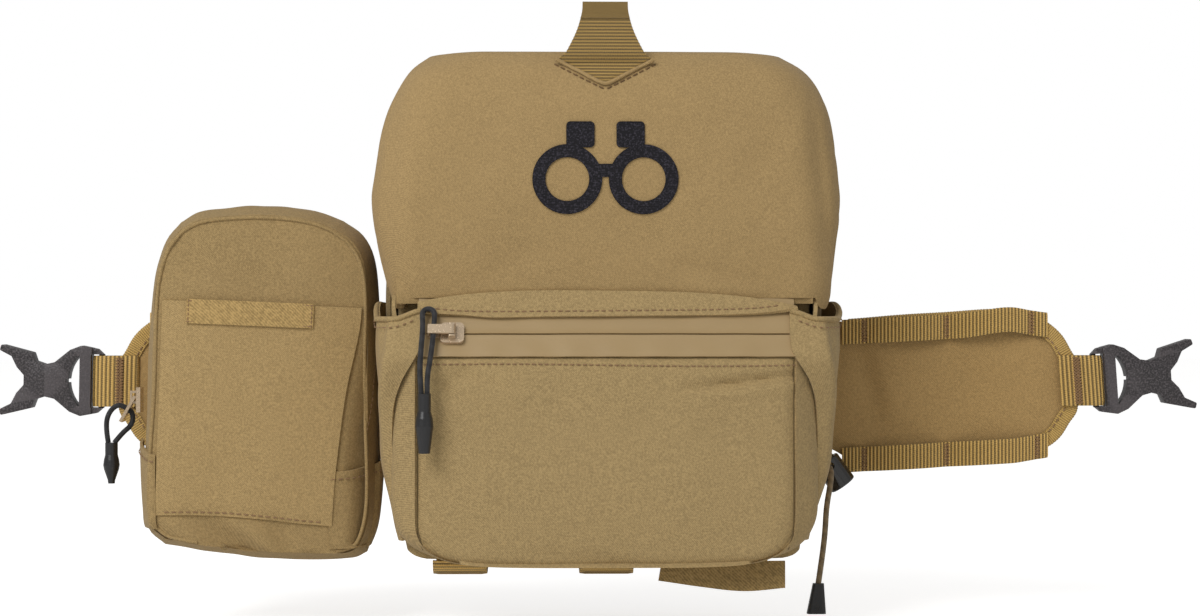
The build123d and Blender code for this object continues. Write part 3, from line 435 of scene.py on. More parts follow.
def merged_copy(node, name):
    """Copy of a CAD node's mesh, its loose triangles merged back into whole faces."""
    piece = bpy.data.objects.new(name, NODES[node].data.copy())
    bpy.context.scene.collection.objects.link(piece)
    edit(piece)
    bpy.ops.mesh.remove_doubles(threshold=MERGE)
    bpy.ops.mesh.dissolve_limited(angle_limit=math.radians(2))
    leave_edit()
    return piece


def softened_copy(node, name, edge):
    """Copy of a hard CAD node with its sharp edges broken by edge millimetres."""
    piece = merged_copy(node, name)
    finish_modifier(piece, "BEVEL", width=edge * MM, segments=2, limit_method="ANGLE",
                    angle_limit=math.radians(35), use_clamp_overlap=True)
    finish_modifier(piece, "TRIANGULATE")
    return smooth_edges(piece, 40)


# ---- shared shader groups and materials ---------------------------------------------------------
class Tree:
    """Short way to add and wire nodes."""

    def __init__(self, tree):
        self.tree = tree

    def give(self, node, key, value):
        """Wires a socket into an input, or sets the input's own value."""
        if isinstance(value, bpy.types.NodeSocket):
            self.tree.links.new(value, node.inputs[key])
        else:
            node.inputs[key].default_value = value

    def add(self, kind, inputs=None, **settings):
        node = self.tree.nodes.new(kind)
        for key, value in settings.items():
            setattr(node, key, value)
        for key, value in (inputs or {}).items():
            self.give(node, key, value)
        return node

    def math(self, operation, a, b=0.0, c=0.0):
        return self.add("ShaderNodeMath", {0: a, 1: b, 2: c}, operation=operation).outputs[0]

    def blend(self, factor, a, b):
        return self.add("ShaderNodeMix", {0: factor, 6: a, 7: b}, data_type="RGBA").outputs[2]

    def noise(self, where, scale, detail=2.0, **more):
        inputs = {"Vector": where, "Scale": scale, "Detail": detail, **more}
        return self.add("ShaderNodeTexNoise", inputs).outputs[0]

    def spread(self, value, low, high):
        """Value stretched so that low to high becomes 0 to 1."""
        return self.add("ShaderNodeMapRange", {0: value, 1: low, 2: high, 3: 0.0, 4: 1.0}).outputs[0]


def new_group(name, inputs, outputs):
    """Empty shader group; inputs are (name, socket kind, default), outputs are (name, socket kind)."""
    group = bpy.data.node_groups.new(name, "ShaderNodeTree")
    for label, kind, default in inputs:
        socket = group.interface.new_socket(name=label, in_out="INPUT", socket_type=kind)
        if default is not None:
            socket.default_value = default
    for label, kind in outputs:
        group.interface.new_socket(name=label, in_out="OUTPUT", socket_type=kind)
    tree = Tree(group)
    return group, tree, tree.add("NodeGroupInput").outputs, tree.add("NodeGroupOutput").inputs


def weave_group():
    """Fine twill cloth: light and dark threads on a slant, broken up, with a pebbled relief."""
    group, t, given, out = new_group(
        "Cloth weave",
        [("Vector", "NodeSocketVector", None), ("Threads", "NodeSocketFloat", 900.0)],
        [("Shade", "NodeSocketFloat"), ("Height", "NodeSocketFloat")])
    grain = t.noise(given["Vector"], given["Threads"], Roughness=0.6)
    twill = t.add("ShaderNodeTexWave", {"Vector": given["Vector"], "Distortion": 2.5, "Detail": 1.0,
                                        "Detail Scale": 2.0,
                                        "Scale": t.math("MULTIPLY", given["Threads"], 0.55)},
                  bands_direction="DIAGONAL").outputs[1]
    slub = t.noise(given["Vector"], t.math("MULTIPLY", given["Threads"], 0.4), 1.0)
    mixed = t.math("MULTIPLY_ADD", grain, 0.7, t.math("MULTIPLY", slub, 0.12))
    mixed = t.math("MULTIPLY_ADD", twill, 0.18, mixed)
    group.links.new(mixed, out["Height"])
    group.links.new(t.spread(mixed, 0.36, 0.64), out["Shade"])
    return group


BINDERS = 950.0  # binding threads in a metre of webbing


def ribs_group():
    """Webbing: thick ribs across the strap, and the fine weave that binds them."""
    group, t, given, out = new_group(
        "Webbing ribs",
        [("Vector", "NodeSocketVector", None), ("Ribs", "NodeSocketFloat", 555.0)],
        [("Shade", "NodeSocketFloat"), ("Height", "NodeSocketFloat")])
    part = t.add("ShaderNodeSeparateXYZ", {0: given["Vector"]}).outputs
    turns = t.math("MULTIPLY", t.math("MULTIPLY", part[0], given["Ribs"]), 2 * math.pi)
    rib = t.math("MULTIPLY_ADD", t.math("SINE", turns), 0.5, 0.5)
    across = t.math("SINE", t.math("MULTIPLY", part[1], 2 * math.pi * BINDERS))
    half = t.math("COSINE", t.math("MULTIPLY", turns, 0.5))
    bind = t.math("MULTIPLY_ADD", t.math("MULTIPLY", across, half), 0.5, 0.5)
    fuzz = t.noise(given["Vector"], 1500.0)
    height = t.math("MULTIPLY_ADD", rib, 0.62, t.math("MULTIPLY", bind, 0.2))
    height = t.math("MULTIPLY_ADD", fuzz, 0.3, height)
    group.links.new(height, out["Height"])
    # Shade: darker in the gaps between ribs and lighter on their tops, used as painted shade and light of
    # the ribs
    group.links.new(t.spread(height, 0.25, 0.85), out["Shade"])
    return group


def wear_group():
    """Slow change of tone over a surface, as dye and handling leave."""
    group, t, given, out = new_group(
        "Slow tone", [("Vector", "NodeSocketVector", None), ("Scale", "NodeSocketFloat", 18.0)],
        [("Tone", "NodeSocketFloat")])
    cloud = t.noise(given["Vector"], given["Scale"], 3.0)
    group.links.new(t.spread(cloud, 0.35, 0.65), out["Tone"])
    return group


def grain_group():
    """Fine moulded or cast grain, with an edge mask told from the curve of the surface for painting
    highlights along edges.
    """
    group, t, given, out = new_group(
        "Moulded grain", [("Vector", "NodeSocketVector", None), ("Scale", "NodeSocketFloat", 1600.0)],
        [("Speck", "NodeSocketFloat"), ("Height", "NodeSocketFloat"), ("Edge", "NodeSocketFloat")])
    speck = t.noise(given["Vector"], given["Scale"])
    group.links.new(speck, out["Height"])
    group.links.new(t.spread(speck, 0.45, 0.7), out["Speck"])
    # Edge: mask of convex edges; colour lightened by it is a painted highlight
    curve = t.add("ShaderNodeNewGeometry").outputs["Pointiness"]
    group.links.new(t.spread(curve, 0.52, 0.62), out["Edge"])
    return group


GROUPS = {}


def group_node(tree, name, **inputs):
    """Places a shared group, which is built the first time it is asked for."""
    if name not in GROUPS:
        makers = {"weave": weave_group, "ribs": ribs_group, "tone": wear_group, "grain": grain_group}
        GROUPS[name] = makers[name]()
    return tree.add("ShaderNodeGroup", inputs, node_tree=GROUPS[name]).outputs


def shade_of(colour, factor):
    return (*[min(1.0, c * factor) for c in colour], 1.0)


def new_material(name, coordinates="Object"):
    """Material with one Principled shader; gives it, its tree, the shader and the coordinates."""
    material = bpy.data.materials.new(name)
    material.use_nodes = True
    tree = Tree(material.node_tree)
    shader = next(n for n in material.node_tree.nodes if n.type == "BSDF_PRINCIPLED")
    return material, tree, shader, tree.add("ShaderNodeTexCoord").outputs[coordinates]


def connect(tree, shader, plain, colour, rough=None, height=None, strength=0.4, distance=0.0003):
    """Sets what is the same all over on the shader's own sockets, and wires in what changes."""
    for key, value in plain.items():
        shader.inputs[key].default_value = value
    tree.give(shader, "Base Color", colour)
    if rough is not None:
        tree.give(shader, "Roughness", rough)
    if height is not None:
        bump = tree.add("ShaderNodeBump", {"Strength": strength, "Distance": distance, "Height": height})
        tree.give(shader, "Normal", bump.outputs[0])


def cloth_material(name, colour, threads=900.0, contrast=0.22, sheen=0.08, relief=0.5):
    material, t, shader, where = new_material(name)
    weave = group_node(t, "weave", Vector=where, Threads=threads)
    tone = group_node(t, "tone", Vector=where, Scale=16.0)["Tone"]
    base = t.blend(weave["Shade"], shade_of(colour, 1 - contrast), shade_of(colour, 1 + contrast))
    faded = t.blend(t.math("MULTIPLY", tone, 0.10), base, shade_of(colour, 1.25))
    plain = {"Roughness": 0.85, "Sheen Weight": sheen, "Sheen Roughness": 0.5, "Specular IOR Level": 0.15}
    connect(t, shader, plain, faded, None, weave["Height"], relief, 0.0004)
    return material


def webbing_material(name, colour, ribs, contrast=0.78):
    """Ribbed webbing; its pattern follows the strap's own UV map."""
    material, t, shader, where = new_material(name, "UV")
    rib = group_node(t, "ribs", Vector=where, Ribs=ribs)
    tone = group_node(t, "tone", Vector=where, Scale=60.0)["Tone"]
    # painted shade and light: rib gaps darkened to 1 - contrast, rib tops lightened to 1.45 times
    base = t.blend(rib["Shade"], shade_of(colour, 1 - contrast), shade_of(colour, 1.45))
    faded = t.blend(t.math("MULTIPLY", tone, 0.18), base, shade_of(colour, 0.7))
    plain = {"Roughness": 0.62, "Sheen Weight": 0.15, "Specular IOR Level": 0.4}
    connect(t, shader, plain, faded, None, rib["Height"], 0.8, 0.0004)
    return material


def coated_material(name, colour, rough=0.42):
    material, t, shader, where = new_material(name)
    tone = group_node(t, "tone", Vector=where, Scale=40.0)["Tone"]
    grain = group_node(t, "grain", Vector=where, Scale=1100.0)
    base = t.blend(t.math("MULTIPLY", tone, 0.3), shade_of(colour, 1.0), shade_of(colour, 0.9))
    dull = t.math("MULTIPLY_ADD", grain["Speck"], 0.10, rough)
    connect(t, shader, {"Specular IOR Level": 0.4}, base, dull, grain["Height"], 0.15, 0.0001)
    return material


def moulded_material(name, colour, rough=0.5, speck=0.6, coat=0.0, relief=0.35, scale=1500.0, edge=1.6):
    material, t, shader, where = new_material(name)
    grain = group_node(t, "grain", Vector=where, Scale=scale)
    base = t.blend(grain["Speck"], shade_of(colour, 1 - 0.3 * speck), shade_of(colour, 1 + speck))
    # painted highlight: the colour is lightened along convex edges
    edge_highlight = t.blend(t.math("MULTIPLY", grain["Edge"], 0.6), base, shade_of(colour, edge))
    dull = t.math("MULTIPLY_ADD", grain["Speck"], 0.12, rough - 0.05)
    plain = {"Coat Weight": coat, "Coat Roughness": 0.15}
    connect(t, shader, plain, edge_highlight, dull, grain["Height"], relief, 0.0002)
    return material


def metal_material(name, colour, rough=0.28, metallic=1.0, coat=0.0):
    material, t, shader, where = new_material(name)
    grain = group_node(t, "grain", Vector=where, Scale=900.0)
    # painted highlight: the colour is lightened along sharp edges
    base = t.blend(t.math("MULTIPLY", grain["Edge"], 0.5), shade_of(colour, 1.0), shade_of(colour, 1.35))
    dull = t.math("MULTIPLY_ADD", grain["Speck"], 0.08, rough)
    plain = {"Metallic": metallic, "Coat Weight": coat}
    connect(t, shader, plain, base, dull, grain["Height"], 0.1, 0.0001)
    return material


def braid_material(name, colour, pitch=0.0022, contrast=0.5):
    """Braided cord: strands on a slant, with fuzz over them."""
    material, t, shader, where = new_material(name)
    strand = t.add("ShaderNodeTexWave", {"Vector": where, "Scale": 0.16 / pitch, "Distortion": 3.0,
                                         "Detail": 1.0, "Detail Scale": 3.0},
                   bands_direction="DIAGONAL").outputs[1]
    fuzz = t.noise(where, 1800.0, 1.0)
    height = t.math("MULTIPLY_ADD", strand, 0.6, t.math("MULTIPLY", fuzz, 0.5))
    base = t.blend(height, shade_of(colour, 1 - contrast), shade_of(colour, 1 + contrast))
    connect(t, shader, {"Roughness": 0.7, "Sheen Weight": 0.2}, base, None, height, 0.7, 0.0004)
    return material


def embroidery_material(name, colour):
    """Dense satin thread laid side by side."""
    material, t, shader, where = new_material(name)
    row = t.add("ShaderNodeTexWave", {"Vector": where, "Scale": 420.0, "Distortion": 1.5, "Detail": 2.0},
                bands_direction="Z").outputs[1]
    glint_and_bump_noise = t.noise(where, 1300.0)
    # painted glints: random specks lightened up to 4.5 times the thread colour
    base = t.blend(t.spread(glint_and_bump_noise, 0.5, 0.68), shade_of(colour, 1.0), shade_of(colour, 4.5))
    height = t.math("MULTIPLY_ADD", row, 0.5, t.math("MULTIPLY", glint_and_bump_noise, 0.5))
    connect(t, shader, {"Roughness": 0.55, "Specular IOR Level": 0.2}, base, None, height, 0.9, 0.0004)
    return material


LOOKS = {}


def look(name):
    """Material of a finish, made once from the colour settings."""
    if name in LOOKS:
        return LOOKS[name]
    c, s = colours(), sizes()
    makers = {
        "hood": lambda: cloth_material("Hood cloth", c.hood, 1300.0, 0.20),
        "pocket": lambda: cloth_material("Pocket cloth", c.pocket, 1150.0, 0.24),
        "pouch": lambda: cloth_material("Pouch cloth", c.pouch, 1150.0, 0.24),
        "wing": lambda: cloth_material("Wing cloth", c.wing, 1000.0, 0.16, sheen=0.05),
        # real corner seam; its colour, 0.42 of the pocket cloth, is painted shade along the fold
        "seam": lambda: cloth_material("Seam", [v * 0.42 for v in c.pocket], 1500.0, 0.2),
        # gusset cloth darkened to 0.55 of the pocket colour: painted shade in the side folds
        "pleat": lambda: cloth_material("Gusset shade cloth", [v * 0.55 for v in c.pocket], 850.0, 0.2),
        "lining": lambda: cloth_material("Lining cloth", c.lining, 1300.0, 0.15, sheen=0.1),
        "mesh": lambda: cloth_material("Spacer mesh", [v * 0.62 for v in c.wing], 420.0, 0.55, relief=1.0),
        "label": lambda: cloth_material("Label twill", c.label, 700.0, 0.28, sheen=0.1, relief=0.8),
        "thread": lambda: cloth_material("Sewing thread", (0.33, 0.20, 0.105), 2500.0, 0.25, sheen=0.2),
        "hood_thread": lambda: cloth_material("Hood thread", (0.19, 0.115, 0.055), 2500.0, 0.3),
        "tack": lambda: cloth_material("Tack thread", (0.30, 0.175, 0.085), 2500.0, 0.25, sheen=0.2),
        # label under the pocket darkened to 0.72 of the label colour: painted shade
        "foot_label": lambda: cloth_material("Shaded foot label twill", [v * 0.72 for v in c.label], 700.0, 0.3,
                                             sheen=0.1, relief=0.8),
        "webbing": lambda: webbing_material("Narrow webbing", c.webbing, 1 / s.rib_pitch),
        "end_webbing": lambda: webbing_material("End webbing", c.webbing, 1 / s.end_pitch),
        "binding": lambda: webbing_material("Edge binding", [v * 0.92 for v in c.webbing], 900.0, 0.35),
        "slip": lambda: cloth_material("Slip pocket cloth", [v * 1.14 for v in c.pouch], 1150.0, 0.24),
        "pull_webbing": lambda: webbing_material("Pull webbing", [v * 0.62 for v in c.webbing],
                                                 1 / (PULL_RIB * MM)),
        "tape": lambda: coated_material("Coated tape", c.tape),
        "pouch_tape": lambda: coated_material("Pouch zipper tape", [v * 0.75 for v in c.pouch], 0.6),
        "coil": lambda: moulded_material("Zipper coil", (0.20, 0.14, 0.07)),
        "slider": lambda: metal_material("Coated slider", c.metal, 0.22, 0.55, 0.6),
        "cord": lambda: braid_material("Black cord", (0.012, 0.012, 0.014), contrast=0.8),
        "elastic": lambda: braid_material("Elastic cord", (0.235, 0.168, 0.088), 0.0016, 0.35),
        "rubber": lambda: moulded_material("Black rubber", (0.013, 0.013, 0.014), 0.38, 0.3, 0.2, 0.1),
        # buckle plastic: edges lightened 2.4 times, a painted highlight
        "buckle": lambda: moulded_material("Buckle plastic", c.plastic, 0.42, 1.6, 0.0, 1.0, 1100.0, 2.4),
        "lock": lambda: moulded_material("Lock plastic", (0.014, 0.013, 0.012), 0.2, 0.2, 0.6, 0.05),
        "steel": lambda: metal_material("Steel", (0.55, 0.55, 0.56), 0.3),
        "ring": lambda: metal_material("Black ring", (0.06, 0.055, 0.05), 0.35, 0.6),
        "foam": lambda: moulded_material("Foam", (0.05, 0.05, 0.05), 0.9, 0.4, 0.0, 0.8, 900.0),
        "sheet": lambda: moulded_material("Plastic sheet", (0.03, 0.03, 0.03)),
        "emblem": lambda: embroidery_material("Embroidery", (0.011, 0.010, 0.013)),
    }
    LOOKS[name] = makers[name]()
    return LOOKS[name]


# ---- shapes of the cloth ------------------------------------------------------------------------
def on_front(piece, x, z, off=0.0):
    """Point in millimetres on the front of a piece at this x and z, standing off it."""
    hit, place, _, _ = piece.ray_cast(Vector((x, -300, z)) * MM, Vector((0, 1, 0)))
    if not hit:
        raise RuntimeError(f"{piece.name} has nothing at x {x:.1f}, z {z:.1f}")
    return Vector((x, place.y / MM - off, z))


def line_on(piece, points, off=0.3, count=40):
    """Line over the front of a piece through (x, z) points in millimetres."""
    places = [line_at(points, k / count) for k in range(count + 1)]
    return [on_front(piece, p[0], p[1], off) for p in places]


def turned_corner(x, y, wide, deep, radius):
    """Point of a box's outline moved in where the corner is turned at this radius."""
    near_x = max(-(wide - radius), min(wide - radius, x))
    near_y = max(-(deep - radius), min(deep - radius, y))
    away = Vector((x - near_x, y - near_y))
    if abs(away.x) < 1e-6 or abs(away.y) < 1e-6:
        return x, y
    away = away.normalized() * max(abs(away.x), abs(away.y))
    return near_x + away.x, near_y + away.y


def hood_point(a, b, c):
    """Hood: a, b go round and across it, c from its hem to its roof."""
    hem = curve_at(HOOD_HEM, mix(-102, -14, (b + 1) / 2))
    hem = mix(hem, HOOD_REAR_HEM, ease((b - 0.86) / 0.1) * ease((0.97 - abs(a)) / 0.08))
    hem -= 5.0 * ease((abs(a) - 0.93) / 0.05) * ease((-0.55 - b) / 0.35)
    low = (c + 1) / 2
    z = mix(hem, HOOD_TOP, low)
    wide = curve_at(HOOD_RIGHT if a > 0 else HOOD_LEFT, z)
    front = curve_at(HOOD_FRONT, z)
    rear = mix(-14, -20, ease((z - 100) / 18))
    middle = (front + rear) / 2
    x, y = turned_corner(a * wide, mix(front, rear, (b + 1) / 2) - middle, wide, (rear - front) / 2,
                         mix(17, 26, ease((z - 10) / 60)) if b < 0 else 10)
    y += middle
    if c > 0.999:
        z += 3 * (1 - max(abs(a), abs(b)) ** 2)
    soft = 1.7 * ripple(x, y, z, 38, 3) + 0.4 * ripple(x, y, z, 13, 9)
    pillow = 1.6 * math.exp(-(((x - 12) / 30) ** 2) - ((z - 94) / 8) ** 2)
    if b < -0.6:
        y -= soft + pillow - creases((x, z), HOOD_FOLDS)
    else:
        x += math.copysign(soft * 0.8, x)
    return x, y, z


def pocket_point(a, b, c):
    """Front pocket: its front, its sides and its foot; b from the front to the back."""
    deep = (b + 1) / 2
    ra, rc = rounded(a, c, 9) if c < 0 else (a, c)
    t = (rc + 1) / 2
    wide = mix(86.4, 98.2, math.sin(min(1, deep * 1.15) * math.pi / 2))
    wide -= 4.0 * max(0, 1 - t / 0.16) ** 2
    x = ra * wide
    y = mix(POCKET_FRONT, -92.3, deep)
    top = PANEL_TOP + max(0, (y - POCKET_FRONT)) * 1.405
    foot = POCKET_FOOT + 0.6 + 4.0 * abs(x / 92) ** 4 + 1.2 * deep
    z = mix(foot, top, t)
    crown = 2.2 * (1 - abs(a) ** 4) * (1 - abs(c) ** 4) * mix(1, 0.1, ease((-x - 66) / 14))
    if b < -0.999:
        y -= crown - 0.8 * ripple(x, 0, z, 34, 5) - 0.3 * ripple(x, 0, z, 12, 2)
        y += creases((x, z), POCKET_FOLDS)
        y += 2.6 * max(0, (max(abs(a), abs(c)) - 0.93) / 0.07) ** 2
    else:
        x += math.copysign(0.9 * ripple(x, y, z, 18, 7) * math.sin(math.pi * deep), x)
    return x, y, z


def side_pocket_place(sign):
    """Side pocket: u along its mouth from the front edge round to the back, v up from its foot."""
    high = 110.5 if sign > 0 else 107.0

    def place(u, v):
        z_top = -0.4 - 3.9 * ease(u * 7) + 7 * ease((u - 0.42) * 4) - 3 * ease((u - 0.75) * 4)
        z = mix(-107.5, z_top, v)
        reach = curve_at([(-108, 95.5), (-98, 98), (-70, mix(100, high, 0.55)), (-22, high - 0.5),
                          (4, high)], z)
        front_x = curve_at([(-108, 93), (-98, 95.5), (-80, 97.0), (-60, 98), (-44, 96.5), (-33, 92.5),
                            (-24, 87.4), (-18, 84.9), (3, 84.4)], z)
        front_y = curve_at([(-108, -93), (-80, -95.6), (-60, -99.5), (-44, -104), (-33, -109.6),
                            (-24, -113.3), (-18, -111.8), (-6, -105), (3, -100.0)], z)
        points = [(front_x, front_y), (mix(front_x, reach, 0.72), front_y + 3.5), (reach, -84),
                  (reach - 1, -66), (mix(98, reach, 0.6), -49), (98.2, -42.5)]
        x, y = line_at(points, u)
        fold = 2.4 * math.exp(-(((u - 0.28) * 14 + (z + 20) / 60) ** 2)) * ease((z + 100) / 60)
        fold += 1.4 * math.exp(-(((u - 0.45) * 12 - (z + 10) / 60) ** 2)) * ease((z + 90) / 60)
        x -= fold
        x += 0.8 * ripple(x, y, z, 22, 11 + sign)
        y += 0.6 * ripple(x, y, z, 20, 31)
        return sign * x, y, z
    return place


def wing_edge(u, low):
    return line_at(WING_LOW if low else WING_TOP, u)


def blend_wing(piece):
    """Bakes a piece's placement into its mesh, leaving it where it stands."""
    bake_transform(piece)


def wing_place(sign, lift=0.0):
    """Wing panel: u from the pack outwards, v from its lower edge to its upper one."""
    def place(u, v):
        a, b = wing_edge(u, True), wing_edge(u, False)
        x, z = mix(a[0], b[0], v), mix(a[1], b[1], v)
        rim = min(1, min(v, 1 - v, 1 - u) * 9)
        y = WING_FRONT_Y + 1.0 - rim * 0.9
        dents = 2.4 * math.exp(-((x - 134 + (z + 38) * 0.25) / 6) ** 2 - ((z + 38) / 18) ** 2)
        dents += 1.8 * math.exp(-((x - 184) / 8) ** 2 - ((z + 34) / 14) ** 2)
        dents += 1.3 * math.exp(-((x - 150) / 12) ** 2 - ((z + 62) / 7) ** 2)
        dents += 1.2 * math.exp(-((x - 112) / 6) ** 2 - ((z + 24) / 9) ** 2)
        y += dents * rim + 1.2 * ripple(x * sign, z, 0, 22, 17) * rim - lift
        return sign * x, y, z
    return place


OUTLINE = {}


def pouch_outline(a, c):
    """Point of the pouch's outline that a square's edge point stands for."""
    key = (round(a, 4), round(c, 4))
    if key not in OUTLINE:
        if abs(a) >= abs(c):
            share, side = (c / abs(a) + 1) / 2, (0 if a < 0 else 2)
        else:
            share, side = (a / abs(c) + 1) / 2, (1 if c > 0 else 3)
        if side in (2, 3):
            share = 1 - share
        OUTLINE[key] = line_at(POUCH_SIDES[side], share)
    return OUTLINE[key]


def pouch_side(sign, z):
    """The outline's x at a height on its left or right."""
    side = POUCH_SIDES[2] if sign > 0 else POUCH_SIDES[0]
    return curve_at(sorted((p[1], p[0]) for p in side), z)


def pouch_point(front):
    """Front or rear half of the pouch, a cube whose front or rear is its padded face."""
    def place(a, b, c):
        reach = max(abs(a), abs(c))
        face = b < -0.999 if front else b > 0.999
        inner = reach if face else 1.0
        rim = pouch_outline(a, c) if reach > 1e-6 else POUCH_HEART
        away = rim - POUCH_HEART
        deep = (b + 1) / 2
        inset = 5.2 * (1 - deep) ** 1.1 if front else 3.6 + 7 * deep
        length = max(1e-6, away.length)
        side = away / length
        bulge = 0.0
        if not face:
            bulge = math.sin(math.pi * deep) * 0.9 + 0.6 * ripple(a * 60, b * 20, c * 60, 20, 23)
        spot = POUCH_HEART + side * (length - inset + bulge) * inner
        x, z = spot.x, spot.y
        y = mix(POUCH_FACE_Y, POUCH_SEAM_Y, deep) if front else mix(POUCH_SEAM_Y + 1.4, POUCH_REAR_Y, deep)
        if front and face:
            crown = 3.6 * (1 - inner ** 3)
            y -= crown + 1.0 * ripple(x, 0, z, 28, 41)
            low = ease((-95 - z) / 14)
            gathers = math.sin((x + z * 1.1) / 5.4) * ease((inner - 0.15) / 0.5) * ease((-140 - x) / 20)
            y += 3.4 * low * gathers
            y += creases((x, z), POUCH_FOLDS)
            turn = ease((x - curve_at(SLIP_RIGHT, z) - 1) / 16) * ease((10 - z) / 30)
            y += 9.0 * turn
        return x, y, z
    return place


def pouch_ring(inset, y, count=96):
    """Closed line round the pouch, inside its outline."""
    line = []
    for k in range(count + 1):
        turn = 2 * math.pi * k / count
        rim = pouch_outline(math.cos(turn), math.sin(turn)) - POUCH_HEART
        spot = POUCH_HEART + rim.normalized() * (rim.length - inset)
        line.append(Vector((spot.x, y, spot.y)))
    return line


# ---- operators ----------------------------------------------------------------------------------
def done():
    return {"FINISHED"}


CAMERA_PLACE = Vector((-0.030, -1.22, 0))
CAMERA_LENS = 73.2
# name, place, width of the square in metres, watts
LIGHTS = (("Key light", (-0.95, -1.45, 1.3), 1.1, 24.0), ("Fill light", (1.1, -1.4, 0.35), 1.4, 1.2))


class PACK_OT_stage(bpy.types.Operator):
    """Sets up the camera, the pale floor and the soft studio lights"""

    bl_idname = "pack.stage"
    bl_label = "Stage"

    def execute(self, context):
        deselect()
        aim = (-CAMERA_PLACE).to_track_quat("-Z", "Y").to_euler()
        bpy.ops.object.camera_add(location=CAMERA_PLACE, rotation=aim)
        camera = context.active_object
        camera.data.lens = CAMERA_LENS
        camera.data.clip_end = 50
        context.scene.camera = camera
        context.scene.view_settings.view_transform = "Standard"
        for name, place, size, power in LIGHTS:
            deselect()
            turn = (Vector((0, 0, -0.02)) - Vector(place)).to_track_quat("-Z", "Y").to_euler()
            bpy.ops.object.light_add(type="AREA", location=place, rotation=turn)
            light = context.active_object
            light.name = name
            light.data.size = size
            light.data.energy = power
        self.world(context)
        deselect()
        bpy.ops.mesh.primitive_plane_add(size=12, location=(0, 0, -sizes().floor_drop))
        floor = named("studio_floor")
        material, t, shader, where = new_material("Studio floor")
        tone = t.blend(t.noise(where, 3.0), (0.90, 0.90, 0.90, 1), (0.94, 0.94, 0.94, 1))
        connect(t, shader, {"Roughness": 0.9, "Emission Color": (1, 1, 1, 1)}, tone)
        seen = t.add("ShaderNodeLightPath").outputs["Is Camera Ray"]
        t.give(shader, "Emission Strength", t.math("MULTIPLY", seen, 0.62))
        floor.data.materials.append(material)
        return done()

    def world(self, context):
        world = bpy.data.worlds.new("Studio")
        context.scene.world = world
        world.use_nodes = True
        t = Tree(world.node_tree)
        t.tree.nodes.clear()
        path = t.add("ShaderNodeLightPath").outputs["Is Camera Ray"]
        seen = t.add("ShaderNodeBackground", {"Color": (1, 1, 1, 1), "Strength": 1.0}).outputs[0]
        light = t.add("ShaderNodeBackground", {"Color": (1, 0.99, 0.975, 1), "Strength": 0.40}).outputs[0]
        both = t.add("ShaderNodeMixShader", {0: path, 1: light, 2: seen}).outputs[0]
        t.add("ShaderNodeOutputWorld", {"Surface": both})


class PACK_OT_cords(bpy.types.Operator):
    """Makes the elastic cord and the two zipper pull cords, with their rubber ends"""

    bl_idname = "pack.cords"
    bl_label = "Cords"

    def execute(self, context):
        dress_nodes("rubber", "shock_cord_end", "front_pull_grip", "pouch_pull_grip")
        self.cord("elastic_drawcord", SHOCK_ROUTE, 0.0028, 0.0817, "pack", "elastic_cord", "elastic",
                  "shock_cord", (0.11205, -0.010, -0.0773), "shock_cord_end")
        self.cord("front_zip_cord", FRONT_PULL_ROUTE, 0.0025, 0.087, "front_zip_pull", "black_cord", "cord",
                  "front_pull_cord", (-0.0834, -0.1195, -0.0360), "front_pull_grip")
        self.cord("pouch_zip_cord", POUCH_PULL_ROUTE, 0.0025, 0.0456, "pouch_zip_pull", "black_cord", "cord",
                  "pouch_pull_cord", (-0.2369, -0.0446, -0.0640), "pouch_pull_grip")
        dress_nodes("elastic", "cord_knot")
        return done()

    def cord(self, name, route, thick, length, body, slot, finish, node, leaves, end):
        piece = wire(name, route, thick / 2)
        dress(piece, finish, body, (node,))


class PACK_OT_body(bpy.types.Operator):
    """Makes the main body, its lining, floor pad, folded gussets and magnets"""

    bl_idname = "pack.body"
    bl_label = "Main body"

    def execute(self, context):
        def shell(inset):
            def place(a, b, c):
                ra, rb = rounded(a, b, 8)
                t = (c + 1) / 2
                rear = -9.6 - inset
                x = ra * (97 - inset) * mix(0.985, 1, t)
                y = mix(-92.3 + inset, rear, (rb + 1) / 2)
                z = mix(-116 + inset, 91.5 - inset * 1.4, t)
                x, z = turned_corner(x, min(z, 0), 97, 116 - inset, 16) if z < 0 else (x, z)
                if abs(ra) > 0.9:
                    x += math.copysign(0.8 * ripple(x, y, z, 26, 51) - 0.4, x)
                if c < -0.999:
                    z -= 0.8 * (1 - max(abs(a), abs(b)) ** 3)
                return x, y, z
            return place

        def open_top(middle):
            return middle.z > 0.99

        body = bag("pack_body", 40, shell(0), open_top)
        dress(body, "pocket", "pack", ("main_shell",))
        lining = bag("pack_lining", 30, shell(3.4), open_top, 1.0)
        dress(lining, "lining", "pack", ("body_liner",))

        def cushion(a, b, c):
            ra, rb = rounded(a, b, 7)
            edge = max(abs(a), abs(b))
            z = mix(-111, -105.6, (c + 1) / 2) + 0.8 * c * (1 - edge ** 4) - 0.4
            return ra * 91 * (1 - 0.01 * c * c), mix(-86, -15.5, (rb + 1) / 2), z

        pad = bag("floor_cushion", 16, cushion, None, 0)
        dress(pad, "foam", "pack", ("floor_pad",))

        def pleat(sign):
            def place(u, v):
                z = mix(-30, 46, v)
                y = mix(-84, -25, u)
                fold = 2.4 * math.sin(u * math.pi * 5) * math.sin(math.pi * min(1, v * 1.15))
                return sign * (99.6 + fold), y, z
            return place

        sides = [patch("gusset", 60, 16, pleat(sign), 0.8, flipped=sign < 0) for sign in (1, -1)]
        gussets = join("folded_gussets", sides)
        # the gussets carry painted shade in their colour
        dress(gussets, "pleat", "pack", ("side_gussets",))
        dress_nodes("steel", "rim_magnets", "lid_magnets")
        return done()


